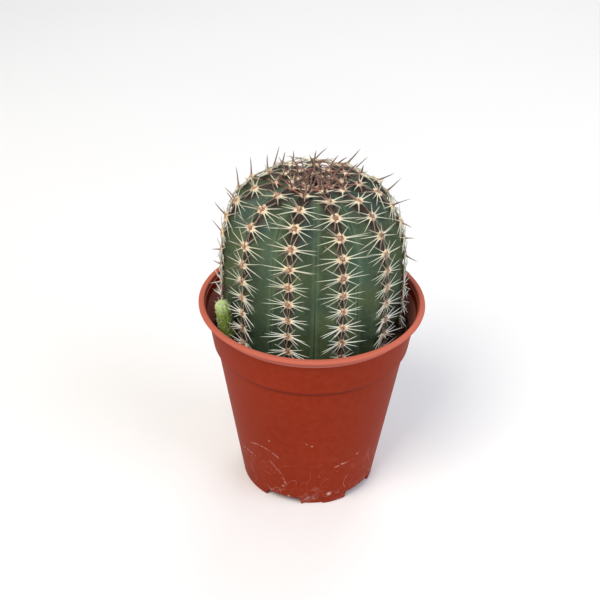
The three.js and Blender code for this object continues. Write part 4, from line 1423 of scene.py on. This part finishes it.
class CACTUS_OT_stage(bpy.types.Operator):
    """Lay the floor, and set the lights and the camera"""

    bl_idname = "cactus.stage"
    bl_label = "Stage"

    def execute(self, context):
        settings = context.scene.cactus_stage
        rim = FLOOR_RADIUS * outward(np.arange(FLOOR_COLUMNS) * 360 / FLOOR_COLUMNS)
        faces = [(i, (i + 1) % FLOOR_COLUMNS, FLOOR_COLUMNS) for i in range(FLOOR_COLUMNS)]
        floor = new_piece("floor", np.concatenate([rim, [(0, 0, 0)]]), faces)
        # Uncoated pressed card, which scatters light evenly and is a little cloudy
        material, add = new_material("Matt white card", {"Roughness": 0.9, "Specular IOR Level": 0.2})
        place = add("ShaderNodeTexCoord", out=3)
        cloud = add(NOISE, place, pattern(167, 2))
        tint = layered(add, settings.floor, (cloud, "#eeeeee"))
        floor.data.materials.append(dress(material, {"Base Color": tint}))
        self.light_stage(context.scene)
        self.place_camera(context.scene, settings)
        return {"FINISHED"}

    def light_stage(self, scene):
        """Soft studio light: a large key above at the left, a fill at the right and a pale surround."""
        world = bpy.data.worlds.new("Pale studio")
        world.use_nodes = True
        background = world.node_tree.nodes["Background"]
        background.inputs["Color"].default_value = (*linear("#fbfcff"), 1.0)
        background.inputs["Strength"].default_value = 0.42
        scene.world = world
        scene.view_settings.view_transform = "Standard"
        for name, place, size, power, tint in (
            ("key", (-0.30, -0.42, 0.72), 0.45, 5.5, "#fff8ed"),
            ("fill", (0.55, -0.30, 0.50), 0.6, 2.9, "#e6f0ff"),
            ("back", (0.15, 0.60, 0.65), 0.5, 2.0, "#ffffff"),
        ):
            data = bpy.data.lights.new(name, "AREA")
            data.size = size
            data.energy = power
            data.color = linear(tint)
            light = bpy.data.objects.new(name, data)
            light.location = place
            aim = Vector((0, 0, POT_HEIGHT * MM)) - light.location
            light.rotation_euler = aim.to_track_quat("-Z", "Y").to_euler()
            scene.collection.objects.link(light)

    def place_camera(self, scene, settings):
        """The camera looks down at the middle of the rim, turned a little about its own axis."""
        data = bpy.data.cameras.new("camera")
        data.lens = settings.lens
        data.sensor_width = 36
        data.shift_x = -0.02
        data.shift_y = -0.005
        data.clip_start = 0.01
        data.clip_end = 20
        camera = bpy.data.objects.new("camera", data)
        back = Vector((0, -math.cos(settings.elevation), math.sin(settings.elevation)))
        place = Vector((0, 0, POT_HEIGHT * MM)) + back * settings.distance
        tilt = Matrix.Rotation(math.pi / 2 - settings.elevation, 4, "X")
        camera.matrix_world = Matrix.Translation(place) @ tilt @ Matrix.Rotation(settings.roll, 4, "Z")
        scene.collection.objects.link(camera)
        scene.camera = camera


GROUPS = {
    "cactus_pot": PotSettings,
    "cactus_soil": SoilSettings,
    "cactus_plant": PlantSettings,
    "cactus_spines": SpineSettings,
    "cactus_shoot": ShootSettings,
    "cactus_stage": StageSettings,
}
OPERATORS = (
    CACTUS_OT_stage,
    CACTUS_OT_pot,
    CACTUS_OT_soil,
    CACTUS_OT_body,
    CACTUS_OT_felt,
    CACTUS_OT_spines,
    CACTUS_OT_shoot,
)


class CACTUS_PT_panel(bpy.types.Panel):
    """The pieces of the potted cactus, with their settings"""

    bl_idname = "CACTUS_PT_panel"
    bl_label = "Potted cactus"
    bl_space_type = "VIEW_3D"
    bl_region_type = "UI"
    bl_category = "Cactus"

    def draw(self, context):
        for operator in OPERATORS:
            self.layout.operator(operator.bl_idname)
        for word in GROUPS:
            group = getattr(context.scene, word)
            box = self.layout.box()
            for key in group.__annotations__:
                box.prop(group, key)


def register():
    for word, group in GROUPS.items():
        bpy.utils.register_class(group)
        setattr(bpy.types.Scene, word, PointerProperty(type=group))
    for item in (*OPERATORS, CACTUS_PT_panel):
        bpy.utils.register_class(item)


def unregister():
    for item in (*OPERATORS, CACTUS_PT_panel):
        bpy.utils.unregister_class(item)
    for word, group in GROUPS.items():
        delattr(bpy.types.Scene, word)
        bpy.utils.unregister_class(group)


def main():
    register()
    for operator in OPERATORS:
        category, name = operator.bl_idname.split(".")
        getattr(getattr(bpy.ops, category), name)()


if __name__ == "__main__":
    main()
